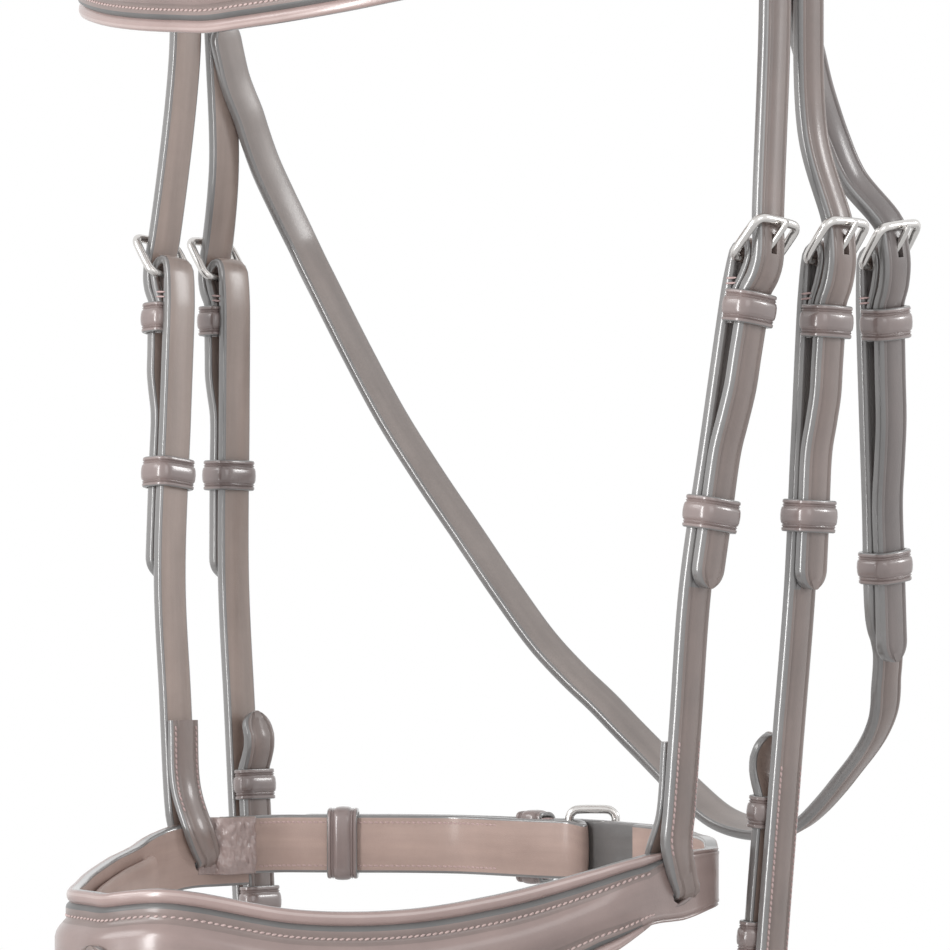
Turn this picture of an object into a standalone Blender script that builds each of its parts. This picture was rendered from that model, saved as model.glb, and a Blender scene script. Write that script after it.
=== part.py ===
"""Flash noseband bridle, hanging as on a head: nose towards -Y, near side +X, crown at the origin.

Every strap is a lofted section along a route of stations. Each buckle joins two straps in one stack,
which is laid out in its own frame: x runs down the strap from the buckle bar, y points out of the
strap's face and z across its width.
"""

import math
from collections import namedtuple

import bmesh
import bpy
from mathutils import Matrix, Vector

# Straps
STRAP_WIDTH = 0.0127
STRAP_THICKNESS = 0.00375
STRAP_ROUNDING = 0.0012
SKIVED_THICKNESS = 0.0024
JAW_STRAP_WIDTH = 0.019
SLIT_GAP = 0.0013
REST_GAP = 0.0003
RUN_GAP = 0.0004
CUT_OVERRUN = 0.003

# Keepers and runners, the leather loops round a buckled stack
LOOP_LENGTH = 0.010
LOOP_WALL = 0.0016
LOOP_CORNER = 0.0011
RUNNER_TRAVEL = 0.010

# Buckles
WIRE_RADIUS = 0.0014
BUCKLE_REACH = 0.015
BUCKLE_SIDE_GAP = 0.0019
BUCKLE_CORNER = 0.003
BUCKLE_TILT = math.radians(34)
TONGUE_RADIUS = 0.0011
TONGUE_OVERHANG = 0.0022
TONGUE_GAP = 0.00025
TONGUE_LIFT = math.radians(12)
TONGUE_WRAP = math.radians(285)
BILLET_BOW = 0.0028

# Crown, legs and browband
CROWN_PAD_THICKNESS = 0.008
CROWN_PAD_WIDTH = 0.050
CROWN_PAD_CENTRE_Y = 0.011
CROWN_FLAT = 0.015
CROWN_RISE = 0.065
CROWN_WIDTH = 0.034
CROWN_CENTRE_Y = 0.019
SLIPHEAD_CROWN_Y = -0.0055
LEG_HALF_SPAN = 0.126
LEG_CENTRE_Y = 0.0189
LEG_SPLIT_DROP = 0.0905
SLIPHEAD_LEG_Y = -0.004
BROWBAND_DROP = 0.077
BROWBAND_DIP = 0.017
BROWBAND_REACH = 0.120
BROWBAND_HEIGHT = 0.026
BROWBAND_THICKNESS = 0.0036
BROWBAND_RISE = 0.0026
BROWBAND_RIM = 0.0045
BROWBAND_PADDING = 0.0034

# Buckled stacks of the cheekpieces, noseband hangers and throatlatch
BUCKLE_DROP = 0.176
HANGER_BAR_INSET = 0.0025
HANGER_BAR_Y = -0.0123
HANGER_LEAN_X = 0.006
HANGER_LEAN_Y = -0.0097
CHEEK_BAR_OUTSET = 0.0017
CHEEK_BAR_Y = 0.0178
CHEEK_LEAN_X = 0.0023
CHEEK_LEAN_Y = -0.0028
THROAT_BAR_OUTSET = 0.0005
THROAT_BAR_Y = 0.0465
THROAT_LEAN_X = 0.0034
THROAT_LEAN_Y = 0.008
LEAN_LENGTH = 0.076
KEEPER_DROP = 0.0145
CHEEK_KEEPER_DROP = 0.018
NEAR_RUNNER_DROP = 0.0775
OFF_RUNNER_DROP = 0.066
THROAT_RUNNER_DROP = 0.094
BILLET_TAIL = 0.100
THROAT_BILLET_TAIL = 0.124

# Noseband and its hangers
NOSE_HALF_SPAN = 0.1015
NOSE_REACH = 0.1626
NOSE_TOP_DROP = 0.355
NOSE_WAVE = 0.010
NOSE_HANG_Y = -0.0262
NOSE_FRONT_HEIGHT = 0.034
NOSE_SIDE_HEIGHT = 0.021
NOSE_THICKNESS = 0.004
NOSE_RISE = 0.0034
NOSE_RIM = 0.0075
NOSE_PADDING = 0.004
SLIT_DEPTH = 0.0104
DOUBLED_LENGTH = 0.044
JAW_REACH = 0.049
JAW_BAR_X = -0.003
JAW_LEAN_Y = -0.0014
JAW_KEEPER_DROP = 0.015
JAW_CENTRE_DROP = 0.3625
LAP_GAP = 0.0012
JAW_BEND_ROOM = 0.002

# Cheekpiece ends that hold the bit
BIT_DROP = 0.417
BIT_OUTSET = 0.0085
BIT_Y = 0.0115
BIT_LOOP_RADIUS = 0.0075
HOOK_BILLET_LENGTH = 0.097
BIT_KEEPER_WALL = 0.0011
UPPER_BIT_KEEPER = 0.0725
LOWER_BIT_KEEPER = 0.034
HOOK_STUD_HEIGHT = 0.054
STUD_PLATE = 0.0009
STUD_PLATE_RADIUS = 0.003
STUD_RADIUS = 0.0012
STUD_HEAD = 0.0019
STUD_STAND = 0.0034

# Throatlatch
THROAT_DROP = 0.3555
THROAT_REACH = 0.088
THROAT_SWING_DROP = 0.0975
THROAT_SWING_Y = 0.0115

# Flash loop and strap
FLASH_DROP = 0.4125
FLASH_HALF_SPAN = 0.084
FLASH_BACK = 0.027
CHIN_DROP = 0.471
FLASH_LOOP_WIDTH = 0.018
FLASH_LOOP_THICKNESS = 0.002
FLASH_LOOP_TOP = 0.380
FLASH_CLEARANCE = 0.0012
FLASH_BAR_Y = -0.034
FLASH_KEEPER_DROP = 0.015
FLASH_RUNNER_DROP = 0.040
FLASH_RUNNER_TRAVEL = 0.006
FLASH_BILLET_TAIL = 0.060

# Counts of sides, steps and stations
TUBE_SIDES = 6
HOLE_SIDES = 6
SLOT_SIDES = 12
FOLD_STEPS = 4
TONGUE_STEPS = 7
CORNER_STEPS = 2
SLIT_STEPS = 6
BIT_LOOP_STEPS = 7
FLASH_STEPS = 5
BROW_PADDING_SHORT = 3
NOSE_PADDING_SHORT = 9
JAW_TAPER_STATIONS = 3
JAW_BILLET_STATIONS = 6

# Shapes as shares of the sizes that they follow
ROUND_END_SHARES = (0.0, 0.3, 0.65, 0.9)
EDGE_SHARE = 0.8
CHAPE_SHARE = 0.4
BILLET_HEAD_SHARE = 0.7
BILLET_KEEPER_SHARE = 0.3
BILLET_BOW_SHARES = ((0.25, 0.9), (0.5, 0.85), (0.75, 0.45))
LEG_Y_SHARE = 0.4
LEG_DROP_SHARE = 0.55
BROW_END_SHARE = 0.2
HANGER_SHARES = (0.5, 0.85)
DOUBLED_SHARES = (0.35, 1.0)
CHEEK_SHARES = (0.35, 0.7)
FLASH_LOOP_SHARE = 0.6
STUD_PLATE_SHARES = (0.6, 0.9)
STUD_HOOK_SHARES = (0.5, 1.6)
ARCH_SHARES = (0.0, 0.16, 0.32, 0.48, 0.64, 0.8, 0.92, 1.0)
PAD_ARCH_STEPS = 5
PAD_EDGE_SHARE = 0.55
BROW_PLAN_SHARES = (
    (0.0, -1.0),
    (0.2, -0.985),
    (0.4, -0.935),
    (0.58, -0.84),
    (0.73, -0.67),
    (0.86, -0.44),
    (0.96, -0.23),
)
BROW_DIP_SHARES = (1.0, 0.9, 0.72, 0.45, 0.15, 0.0, 0.0)
NOSE_PLAN_SHARES = (
    (0.0, -1.0),
    (0.176, -0.972),
    (0.294, -0.91),
    (0.412, -0.824),
    (0.539, -0.726),
    (0.667, -0.615),
    (0.784, -0.504),
    (0.882, -0.394),
    (0.962, -0.31),
    (1.0, -0.235),
    (1.0, -0.165),
    (1.0, -0.095),
    (0.978, -0.015),
)
NOSE_WAVE_SHARES = (1.0, 0.8, 1.03, 1.38, 1.52, 1.45, 1.15, 0.74, 0.34, 0.08, 0.0, 0.0, 0.0)
NOSE_WAVE_OFF_SHARES = (1.0, 1.0, 1.04, 1.02, 0.92, 0.8, 0.66, 0.51, 0.35, 0.15, 0.0, 0.0, 0.0)
NOSE_HEIGHT_SHARES = (1.0, 1.0, 1.0, 0.97, 0.92, 0.86, 0.78, 0.62, 0.35, 0.0, 0.0, 0.0, 0.0)
JAW_PLAN_SHARES = ((0.9, 0.13), (0.745, 0.39), (0.668, 0.52), (0.59, 0.65), (0.43, 0.84), (0.28, 0.94))
THROAT_PLAN_SHARES = (
    (-0.968, 0.176, 0.048),
    (-0.964, 0.244, 0.093),
    (-0.96, 0.335, 0.159),
    (-0.937, 0.498, 0.256),
    (-0.873, 0.534, 0.32),
    (-0.714, 0.66, 0.485),
    (-0.516, 0.773, 0.634),
    (-0.317, 0.886, 0.7735),
    (-0.159, 0.966, 0.85),
    (0.0, 1.0, 0.9165),
    (0.238, 0.977, 0.9895),
    (0.436, 0.955, 1.0),
    (0.55, 0.955, 0.98),
    (0.675, 0.955, 0.923),
    (0.778, 0.9, 0.882),
    (0.845, 0.845, 0.8455),
    (0.885, 0.785, 0.809),
    (0.915, 0.74, 0.7645),
)
THROAT_BILLET_SHARES = (
    (0.968, 0.195, 0.05),
    (0.968, 0.256, 0.103),
    (0.968, 0.336, 0.153),
    (0.985, 0.405, 0.2),
)
FLASH_FRONT_SHARES = ((0.0, -1.0), (0.17, -0.991), (0.35, -0.91), (0.54, -0.79), (0.74, -0.625), (0.9, -0.43))
FLASH_BACK_SHARES = ((0.86, 0.25), (0.63, 0.72), (0.33, 0.95), (0.0, 1.0))

Station = namedtuple("Station", "centre half_width half_thickness rise across", defaults=(0.0, None))
Finish = namedtuple("Finish", "colour roughness metallic")

# Colours and surfaces
LEATHER = Finish((0.16, 0.075, 0.05), 0.42, 0.0)
LINING = Finish((0.24, 0.13, 0.085), 0.6, 0.0)
STEEL = Finish((0.62, 0.62, 0.6), 0.25, 1.0)


def clear_scene():
    for found in list(bpy.data.objects):
        bpy.data.objects.remove(found, do_unlink=True)


def make_material(name, finish):
    material = bpy.data.materials.new(name)
    material.use_nodes = True
    shader = material.node_tree.nodes["Principled BSDF"]
    shader.inputs["Base Color"].default_value = (*finish.colour, 1.0)
    shader.inputs["Roughness"].default_value = finish.roughness
    shader.inputs["Metallic"].default_value = finish.metallic
    return material


def place_mesh(name, mesh, finish, pivot):
    """A finished object with its origin at the pivot, under the pivot's empty where it has one."""
    origin = pivot.location if pivot else Vector()
    bmesh.ops.translate(mesh, verts=mesh.verts, vec=-origin)
    data = bpy.data.meshes.new(name)
    mesh.to_mesh(data)
    mesh.free()
    data.shade_smooth()
    data.set_sharp_from_angle(angle=math.radians(40))
    data.materials.append(make_material(name, finish))
    made = bpy.data.objects.new(name, data)
    bpy.context.scene.collection.objects.link(made)
    made.parent = pivot
    return made


def make_pivot(name, place):
    """An empty on a joint's axis, which carries the pieces that move with it."""
    pivot = bpy.data.objects.new(name, None)
    pivot.location = place
    bpy.context.scene.collection.objects.link(pivot)
    return pivot


def add_skin(mesh, rings, closed=False):
    """A skin over rings of points, with end caps unless the rings close on themselves."""
    loops = [[mesh.verts.new(point) for point in ring] for ring in rings]
    following = loops[1:] + loops[:1] if closed else loops[1:]
    for first, second in zip(loops, following):
        for i in range(len(first)):
            j = (i + 1) % len(first)
            mesh.faces.new((first[i], first[j], second[j], second[i]))
    if not closed:
        mesh.faces.new(list(reversed(loops[0])))
        mesh.faces.new(loops[-1])


def loft(*skins, closed=False):
    mesh = bmesh.new()
    for rings in skins:
        add_skin(mesh, rings, closed)
    bmesh.ops.recalc_face_normals(mesh, faces=mesh.faces)
    return mesh


def frames_along(centres, acrosses, closed=False):
    """The width and face directions at each centre, with the width kept near the given direction."""
    found = []
    last = len(centres) - 1
    for i, (centre, across) in enumerate(zip(centres, acrosses)):
        before = centres[i - 1] if closed or i else centre
        after = centres[(i + 1) % len(centres)] if closed or i < last else centre
        along = (after - before).normalized()
        face = along.cross(across).normalized()
        found.append((face.cross(along), face))
    return found


def strap_frames(stations, across):
    """Directions along a strap: each station's own width direction, turned to agree with the strap's."""
    own = [station.across or across for station in stations]
    agreed = [-given if given.dot(across) < 0 else given for given in own]
    return frames_along([station.centre for station in stations], agreed)


def strap_section(station, rounding, rim):
    """Width and face offsets round a strap: eased edges and, with a rim, a raised outer face."""
    wide, thick = station.half_width, station.half_thickness
    edge = min(rounding, EDGE_SHARE * wide, EDGE_SHARE * thick)
    flat, tall = wide - edge, thick - edge
    front = [(flat, thick)]
    if rim:
        foot, crest = wide - rim, wide - rim - station.rise
        raised = thick + station.rise
        front += [(foot, thick), (crest, raised), (-crest, raised), (-foot, thick)]
    front.append((-flat, thick))
    back = [(-wide, tall), (-wide, -tall), (-flat, -thick), (flat, -thick), (wide, -tall), (wide, tall)]
    return back + front


def make_strap(name, stations, across, finish, pivot=None, rounding=STRAP_ROUNDING, rim=0.0):
    rings = []
    for station, (width, face) in zip(stations, strap_frames(stations, across)):
        section = strap_section(station, rounding, rim)
        rings.append([station.centre + width * w + face * n for w, n in section])
    return place_mesh(name, loft(rings), finish, pivot)


def make_wire(name, centres, radii, across, finish, pivot=None, closed=False):
    rings = []
    directions = frames_along(centres, [across] * len(centres), closed)
    for centre, radius, (width, face) in zip(centres, radii, directions):
        turns = [2 * math.pi * side / TUBE_SIDES for side in range(TUBE_SIDES)]
        rings.append([centre + (width * math.cos(a) + face * math.sin(a)) * radius for a in turns])
    return place_mesh(name, loft(rings, closed=closed), finish, pivot)


def make_cutter(name, *skins):
    """A guide that is cut out of other pieces and never shows."""
    cutter = place_mesh(name, loft(*skins), STEEL, None)
    cutter.hide_render = True
    cutter.display_type = "WIRE"
    return cutter


def cut_away(piece, cutter):
    cut = piece.modifiers.new(cutter.name, "BOOLEAN")
    cut.operation = "DIFFERENCE"
    cut.object = cutter


def smooth(points, steps=2):
    """A Catmull-Rom curve through the points, with this many stations to each span."""
    ends = [points[0] * 2 - points[1], *points, points[-1] * 2 - points[-2]]
    found = []
    for a, b, c, d in zip(ends, ends[1:], ends[2:], ends[3:]):
        for step in range(steps):
            t = step / steps
            bend = (a * 2 - b * 5 + c * 4 - d) * t**2 + (b * 3 - a - c * 3 + d) * t**3
            found.append((b * 2 + (c - a) * t + bend) / 2)
    return [*found, points[-1]]


def plain_stations(centres, width=STRAP_WIDTH, thickness=STRAP_THICKNESS):
    return [Station(centre, width / 2, thickness / 2) for centre in centres]


def round_the_end(stations):
    """Stations with the last one drawn out into a half-round tip that ends where it stood."""
    end, before = stations[-1], stations[-2]
    along = (end.centre - before.centre).normalized()
    half = end.half_width
    tip = []
    for share in ROUND_END_SHARES:
        centre = end.centre - along * half * (1 - share)
        tip.append(end._replace(centre=centre, half_width=half * math.sqrt(1 - share**2)))
    return [*stations[:-1], *tip]


def mixed(low, high, share):
    return low + (high - low) * share


def stack_frame(bar, toward, outward):
    down = (toward - bar).normalized()
    out = (outward - down * outward.dot(down)).normalized()
    frame = Matrix((down, out, out.cross(down))).transposed().to_4x4()
    frame.translation = bar
    return frame


def across_of(frame):
    return frame.to_3x3().col[2].copy()


class Stack:
    """One buckled overlap: the strap folded round the bar inside, the billet over it outside."""

    def __init__(self, frame, width=STRAP_WIDTH, keeper=KEEPER_DROP, runner=NEAR_RUNNER_DROP,
                 tail=BILLET_TAIL, travel=RUNNER_TRAVEL, straight=0.0):
        self.frame = frame
        self.width = width
        self.keeper = keeper
        self.runner = runner
        self.tail = tail
        self.travel = travel
        self.straight = straight or max(tail, runner + travel + LOOP_LENGTH / 2)
        half, skived = STRAP_THICKNESS / 2, SKIVED_THICKNESS / 2
        self.fold_radius = WIRE_RADIUS + REST_GAP + skived
        self.under = -(WIRE_RADIUS + REST_GAP + half)
        self.chape = self.under + half + REST_GAP + skived
        self.billet_at_bar = self.fold_radius + skived + REST_GAP + half
        self.billet_at_keeper = self.chape + skived + REST_GAP + half
        self.billet_low = self.under + half + REST_GAP + half
        self.head_rise = BUCKLE_REACH * math.cos(BUCKLE_TILT)
        self.head_out = BUCKLE_REACH * math.sin(BUCKLE_TILT)
        self.billet_at_head = self.head_out - WIRE_RADIUS - REST_GAP - half - RUN_GAP

    def at(self, down, out, across=0.0):
        return self.frame @ Vector((down, out, across))

    def station(self, down, out, half_width=None, thickness=STRAP_THICKNESS):
        wide = half_width or self.width / 2
        return Station(self.at(down, out), wide, thickness / 2, 0.0, across_of(self.frame))

    def folded_strap(self):
        """The carrying strap, from its chape end up, over the bar and down to the end of the stack."""
        settled = self.keeper - LOOP_LENGTH / 2
        end = self.keeper + LOOP_LENGTH / 2 + REST_GAP
        found = [self.station(end, self.chape, thickness=SKIVED_THICKNESS)]
        found.append(self.station(settled, self.chape, thickness=SKIVED_THICKNESS))
        middle = mixed(self.fold_radius, self.chape, CHAPE_SHARE)
        found.append(self.station(settled / 2, middle, thickness=SKIVED_THICKNESS))
        for step in range(FOLD_STEPS + 1):
            turn = math.pi * step / FOLD_STEPS
            place = (-self.fold_radius * math.sin(turn), self.fold_radius * math.cos(turn))
            found.append(self.station(*place, thickness=SKIVED_THICKNESS))
        found.append(self.station(settled, self.under))
        found.append(self.station(self.runner - self.travel - LOOP_LENGTH, self.under))
        found.append(self.station(self.straight, self.under))
        return found

    def billet(self):
        """The billet, from above the buckle down to its rounded tip."""
        keeper_top = self.keeper - LOOP_LENGTH / 2
        keeper_end = self.keeper + LOOP_LENGTH / 2
        low_start = self.runner - self.travel - LOOP_LENGTH
        low = self.billet_low
        places = [
            (-self.head_rise, self.billet_at_head),
            (-self.head_rise / 2, mixed(self.billet_at_head, self.billet_at_bar, BILLET_HEAD_SHARE)),
            (0.0, self.billet_at_bar),
            (keeper_top / 2, mixed(self.billet_at_bar, self.billet_at_keeper, BILLET_KEEPER_SHARE)),
            (keeper_top, self.billet_at_keeper),
            (keeper_end, self.billet_at_keeper),
        ]
        bow = min(BILLET_BOW, (low_start - keeper_end) / 4)
        for share, lift in BILLET_BOW_SHARES:
            places.append((mixed(keeper_end, low_start, share), low + bow * lift))
        places += [(low_start, low), (self.runner, low), (self.tail, low)]
        return round_the_end([self.station(*place) for place in places])

    def frame_wire(self):
        """Centres of the buckle's wire, a rounded rectangle that tilts out of the strap."""
        up = Vector((-math.cos(BUCKLE_TILT), math.sin(BUCKLE_TILT), 0.0))
        half = self.width / 2 + BUCKLE_SIDE_GAP + WIRE_RADIUS
        low, high = BUCKLE_CORNER, BUCKLE_REACH - BUCKLE_CORNER
        side = half - BUCKLE_CORNER
        centres = []
        for rise, across, start in ((low, -side, 270), (low, side, 180), (high, side, 90), (high, -side, 0)):
            for step in range(CORNER_STEPS + 1):
                turn = math.radians(start - 90 * step / CORNER_STEPS)
                place = up * (rise + BUCKLE_CORNER * math.cos(turn))
                place.z = across + BUCKLE_CORNER * math.sin(turn)
                centres.append(self.frame @ place)
        return centres

    def tongue_wire(self):
        """Centres of the tongue: a hook round the bar, then a straight pin over the head of the frame."""
        ring = WIRE_RADIUS + TONGUE_GAP + TONGUE_RADIUS
        lead = Vector((-math.cos(BUCKLE_TILT), math.sin(BUCKLE_TILT), 0.0))
        side = Vector((math.sin(BUCKLE_TILT), math.cos(BUCKLE_TILT), 0.0))
        centres = []
        for step in range(TONGUE_STEPS + 1):
            turn = TONGUE_WRAP * (1 - step / TONGUE_STEPS)
            centres.append(self.frame @ ((side * math.cos(turn) - lead * math.sin(turn)) * ring))
        length = BUCKLE_REACH + TONGUE_OVERHANG
        for share in (0.5, 1.0):
            centres.append(self.frame @ (side * ring + lead * length * share))
        return centres

    def slot_cutter(self, name):
        """The room for the tongue's hook in the fold of the carrying strap."""
        reach = WIRE_RADIUS + TONGUE_GAP + 2 * TONGUE_RADIUS + RUN_GAP
        half = TONGUE_RADIUS + RUN_GAP
        rings = []
        for across in (-half, half):
            turns = [2 * math.pi * side / SLOT_SIDES for side in range(SLOT_SIDES)]
            rings.append([self.at(reach * math.cos(a), reach * math.sin(a), across) for a in turns])
        return make_cutter(name, rings)

    def hole_cutter(self, name):
        """The hole in the billet that the tongue lifts and lies in."""
        ring = WIRE_RADIUS + TONGUE_GAP + TONGUE_RADIUS
        spare = TONGUE_RADIUS + RUN_GAP
        outline = []
        for lift, offset in ((0.0, ring - spare), (TONGUE_LIFT, ring + spare)):
            tilt = BUCKLE_TILT + lift
            for reach in (0.0, BUCKLE_REACH) if lift == 0.0 else (BUCKLE_REACH, 0.0):
                down = offset * math.sin(tilt) - reach * math.cos(tilt)
                outline.append((down, offset * math.cos(tilt) + reach * math.sin(tilt)))
        rings = [[self.at(*point, across) for point in outline] for across in (-spare, spare)]
        return make_cutter(name, rings)


def make_loop(
    name, frame, down, low, high, half_across, finish, pivot=None, length=LOOP_LENGTH, wall=LOOP_WALL
):
    """A keeper: a band of leather round the stack, clear of its faces and edges."""
    rings = []
    middle, half = (low + high) / 2, (high - low) / 2 + RUN_GAP
    across = half_across + RUN_GAP
    for outer, shift in ((wall, -1), (wall, 1), (0.0, 1), (0.0, -1)):
        tall, wide = half + outer, across + outer
        corner = LOOP_CORNER + outer / 2
        flat, side = tall - corner, wide - corner
        ring = [(flat, wide), (tall, side), (tall, -side), (flat, -wide)]
        ring += [(-flat, -wide), (-tall, -side), (-tall, side), (-flat, wide)]
        place = down + shift * length / 2
        rings.append([frame @ Vector((place, middle + n, w)) for n, w in ring])
    return place_mesh(name, loft(rings, closed=True), finish, pivot)


def make_buckle(name, stack, pivot=None):
    """The frame, tongue and fixed keeper of one stack, each a piece of its own."""
    flat_across = Vector((math.sin(BUCKLE_TILT), math.cos(BUCKLE_TILT), 0.0))
    plane = stack.frame.to_3x3() @ flat_across
    wire = stack.frame_wire()
    make_wire("buckle_" + name, wire, [WIRE_RADIUS] * len(wire), plane, STEEL, pivot, closed=True)
    hinge = make_pivot("tongue_hinge_" + name, stack.frame.translation)
    pin = stack.tongue_wire()
    radii = [TONGUE_RADIUS] * (len(pin) - 1) + [TONGUE_RADIUS * EDGE_SHARE]
    make_wire("tongue_" + name, pin, radii, across_of(stack.frame), STEEL, hinge)
    low, high = stack.under - STRAP_THICKNESS / 2, stack.billet_at_keeper + STRAP_THICKNESS / 2
    make_loop("keeper_" + name, stack.frame, stack.keeper, low, high, stack.width / 2, LEATHER, pivot)


def make_runner(name, stack):
    """The sliding loop that holds the billet's tail against the carrying strap."""
    guide = make_pivot("runner_guide_" + name, stack.at(stack.runner, 0.0))
    low, high = stack.under - STRAP_THICKNESS / 2, stack.billet_low + STRAP_THICKNESS / 2
    make_loop("runner_" + name, stack.frame, stack.runner, low, high, stack.width / 2, LEATHER, guide)


def hanger_stack(side, runner):
    bar = Vector((side * (LEG_HALF_SPAN - HANGER_BAR_INSET), HANGER_BAR_Y, -BUCKLE_DROP))
    aim = bar + Vector((-side * HANGER_LEAN_X, HANGER_LEAN_Y, -LEAN_LENGTH))
    return Stack(stack_frame(bar, aim, Vector((side, 0, 0))), runner=runner)


def cheek_stack(side, runner):
    bar = Vector((side * (LEG_HALF_SPAN + CHEEK_BAR_OUTSET), CHEEK_BAR_Y, -BUCKLE_DROP))
    aim = bar + Vector((-side * CHEEK_LEAN_X, CHEEK_LEAN_Y, -LEAN_LENGTH))
    keeper = CHEEK_KEEPER_DROP if side > 0 else KEEPER_DROP
    return Stack(stack_frame(bar, aim, Vector((side, 0, 0))), keeper=keeper, runner=runner)


def throat_stack():
    bar = Vector((LEG_HALF_SPAN + THROAT_BAR_OUTSET, THROAT_BAR_Y, -BUCKLE_DROP))
    aim = bar + Vector((-THROAT_LEAN_X, THROAT_LEAN_Y, -LEAN_LENGTH))
    frame = stack_frame(bar, aim, Vector((1, 0, 0)))
    straight = THROAT_RUNNER_DROP + RUNNER_TRAVEL + LOOP_LENGTH / 2
    return Stack(
        frame, keeper=CHEEK_KEEPER_DROP, runner=THROAT_RUNNER_DROP, tail=THROAT_BILLET_TAIL, straight=straight
    )


def jaw_stack():
    bar = Vector((JAW_BAR_X, JAW_REACH, -JAW_CENTRE_DROP))
    aim = bar + Vector((-BUCKLE_REACH, JAW_LEAN_Y, 0))
    frame = stack_frame(bar, aim, Vector((0, 1, 0)))
    return Stack(frame, width=JAW_STRAP_WIDTH, keeper=JAW_KEEPER_DROP)


def flash_bend():
    """The middle radius of the flash loop's bend round the flash strap."""
    return STRAP_THICKNESS / 2 + FLASH_CLEARANCE + FLASH_LOOP_THICKNESS / 2


def flash_reach():
    """How far forward the flash strap passes, in its loop on the noseband's raised face."""
    face = NOSE_REACH + NOSE_THICKNESS / 2 + NOSE_RISE
    return face + REST_GAP + FLASH_LOOP_THICKNESS / 2 - flash_bend()


def flash_place(share_x, share_y):
    """A point of the flash strap's ring, which slopes from the loop down to the chin."""
    y = share_y * (flash_reach() if share_y < 0 else FLASH_BACK)
    slope = (CHIN_DROP - FLASH_DROP) / (flash_reach() + FLASH_BACK)
    return Vector((share_x * FLASH_HALF_SPAN, y, -FLASH_DROP - slope * (y + flash_reach())))


def flash_stack():
    bar = flash_place(1.0, FLASH_BAR_Y / flash_reach())
    frame = stack_frame(bar, flash_place(*FLASH_FRONT_SHARES[-1]), Vector((1, 0, 0)))
    drops = {"keeper": FLASH_KEEPER_DROP, "runner": FLASH_RUNNER_DROP, "tail": FLASH_BILLET_TAIL}
    return Stack(frame, travel=FLASH_RUNNER_TRAVEL, **drops)


def crown_point(turn):
    """A point on the pad's outer face over the poll and the direction out of it; a turn of 1 is the leg."""
    angle = turn * math.pi / 2
    span = LEG_HALF_SPAN - STRAP_THICKNESS / 2 - REST_GAP - CROWN_FLAT
    fall = CROWN_RISE * (1 - math.cos(angle))
    place = Vector((CROWN_FLAT + span * math.sin(angle), 0, CROWN_PAD_THICKNESS - fall))
    out = Vector((CROWN_RISE * math.sin(angle), 0, span * math.cos(angle))).normalized()
    return place, out


def across_the_middle(station):
    """The same station on the other side of the head."""
    return station._replace(centre=Vector((-station.centre.x, station.centre.y, station.centre.z)))


def crown_route(crown_y, leg_y, crown_width, leg_width):
    """Stations over the poll from the near leg to the off leg, resting on the pad."""
    near = []
    for share in reversed(ARCH_SHARES):
        place, out = crown_point(share)
        centre = place + out * (REST_GAP + STRAP_THICKNESS / 2)
        centre.y = mixed(crown_y, leg_y, share)
        near.append(Station(centre, mixed(crown_width, leg_width, share) / 2, STRAP_THICKNESS / 2))
    return near + [across_the_middle(station) for station in reversed(near)]


def leg_stations(side):
    """One headpiece leg below the crown: it splits under the browband and its front half goes on down."""
    half = STRAP_WIDTH / 2 - SLIT_GAP / 4
    front = LEG_CENTRE_Y - STRAP_WIDTH / 2
    rows = (
        (LEG_CENTRE_Y, SLIT_GAP / 2 - LEG_SPLIT_DROP, STRAP_WIDTH),
        (front - SLIT_GAP / 4, -LEG_SPLIT_DROP, half),
        (mixed(front, CHEEK_BAR_Y, LEG_Y_SHARE), -mixed(LEG_SPLIT_DROP, BUCKLE_DROP, LEG_DROP_SHARE), half),
    )
    return [Station(Vector((side * LEG_HALF_SPAN, y, z)), wide, STRAP_THICKNESS / 2) for y, z, wide in rows]


def make_headpiece(near, off):
    """The crown strap with its two cheek billets; the throat straps hang behind the split in its legs."""
    legs = [leg_stations(side) for side in (1, -1)]
    over = crown_route(CROWN_CENTRE_Y, LEG_CENTRE_Y, CROWN_WIDTH, 2 * STRAP_WIDTH)
    stations = [*reversed(near.billet()), *reversed(legs[0]), *over, *legs[1], *off.billet()]
    return make_strap("headpiece", stations, Vector((0, -1, 0)), LEATHER)


def make_sliphead(near, off):
    over = crown_route(SLIPHEAD_CROWN_Y, SLIPHEAD_LEG_Y, STRAP_WIDTH, STRAP_WIDTH)
    foot = -BROWBAND_DROP - BROWBAND_HEIGHT
    feet = plain_stations([Vector((side * LEG_HALF_SPAN, SLIPHEAD_LEG_Y, foot)) for side in (1, -1)])
    stations = [*reversed(near.billet()), feet[0], *over, feet[1], *off.billet()]
    return make_strap("noseband_headpiece", stations, Vector((0, -1, 0)), LEATHER)


def make_crown_pad():
    """The pad under the crown: flat where the head carries it, thinner towards its ends."""
    half = []
    shares = ARCH_SHARES[:PAD_ARCH_STEPS]
    for share in reversed(shares):
        place, out = crown_point(share)
        thick = CROWN_PAD_THICKNESS * mixed(1.0, PAD_EDGE_SHARE, share / shares[-1])
        centre = place - out * thick / 2
        centre.y = CROWN_PAD_CENTRE_Y
        half.append(Station(centre, CROWN_PAD_WIDTH / 2, thick / 2))
    off = [across_the_middle(station) for station in reversed(half)]
    return make_strap("crown_pad", half + off, Vector((0, -1, 0)), LINING, rounding=CROWN_PAD_THICKNESS / 3)


def mirrored(points):
    return [Vector((-point.x, point.y, point.z)) for point in points]


def browband_loop_front():
    return SLIPHEAD_LEG_Y - STRAP_WIDTH / 2 - RUN_GAP - LOOP_WALL


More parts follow.
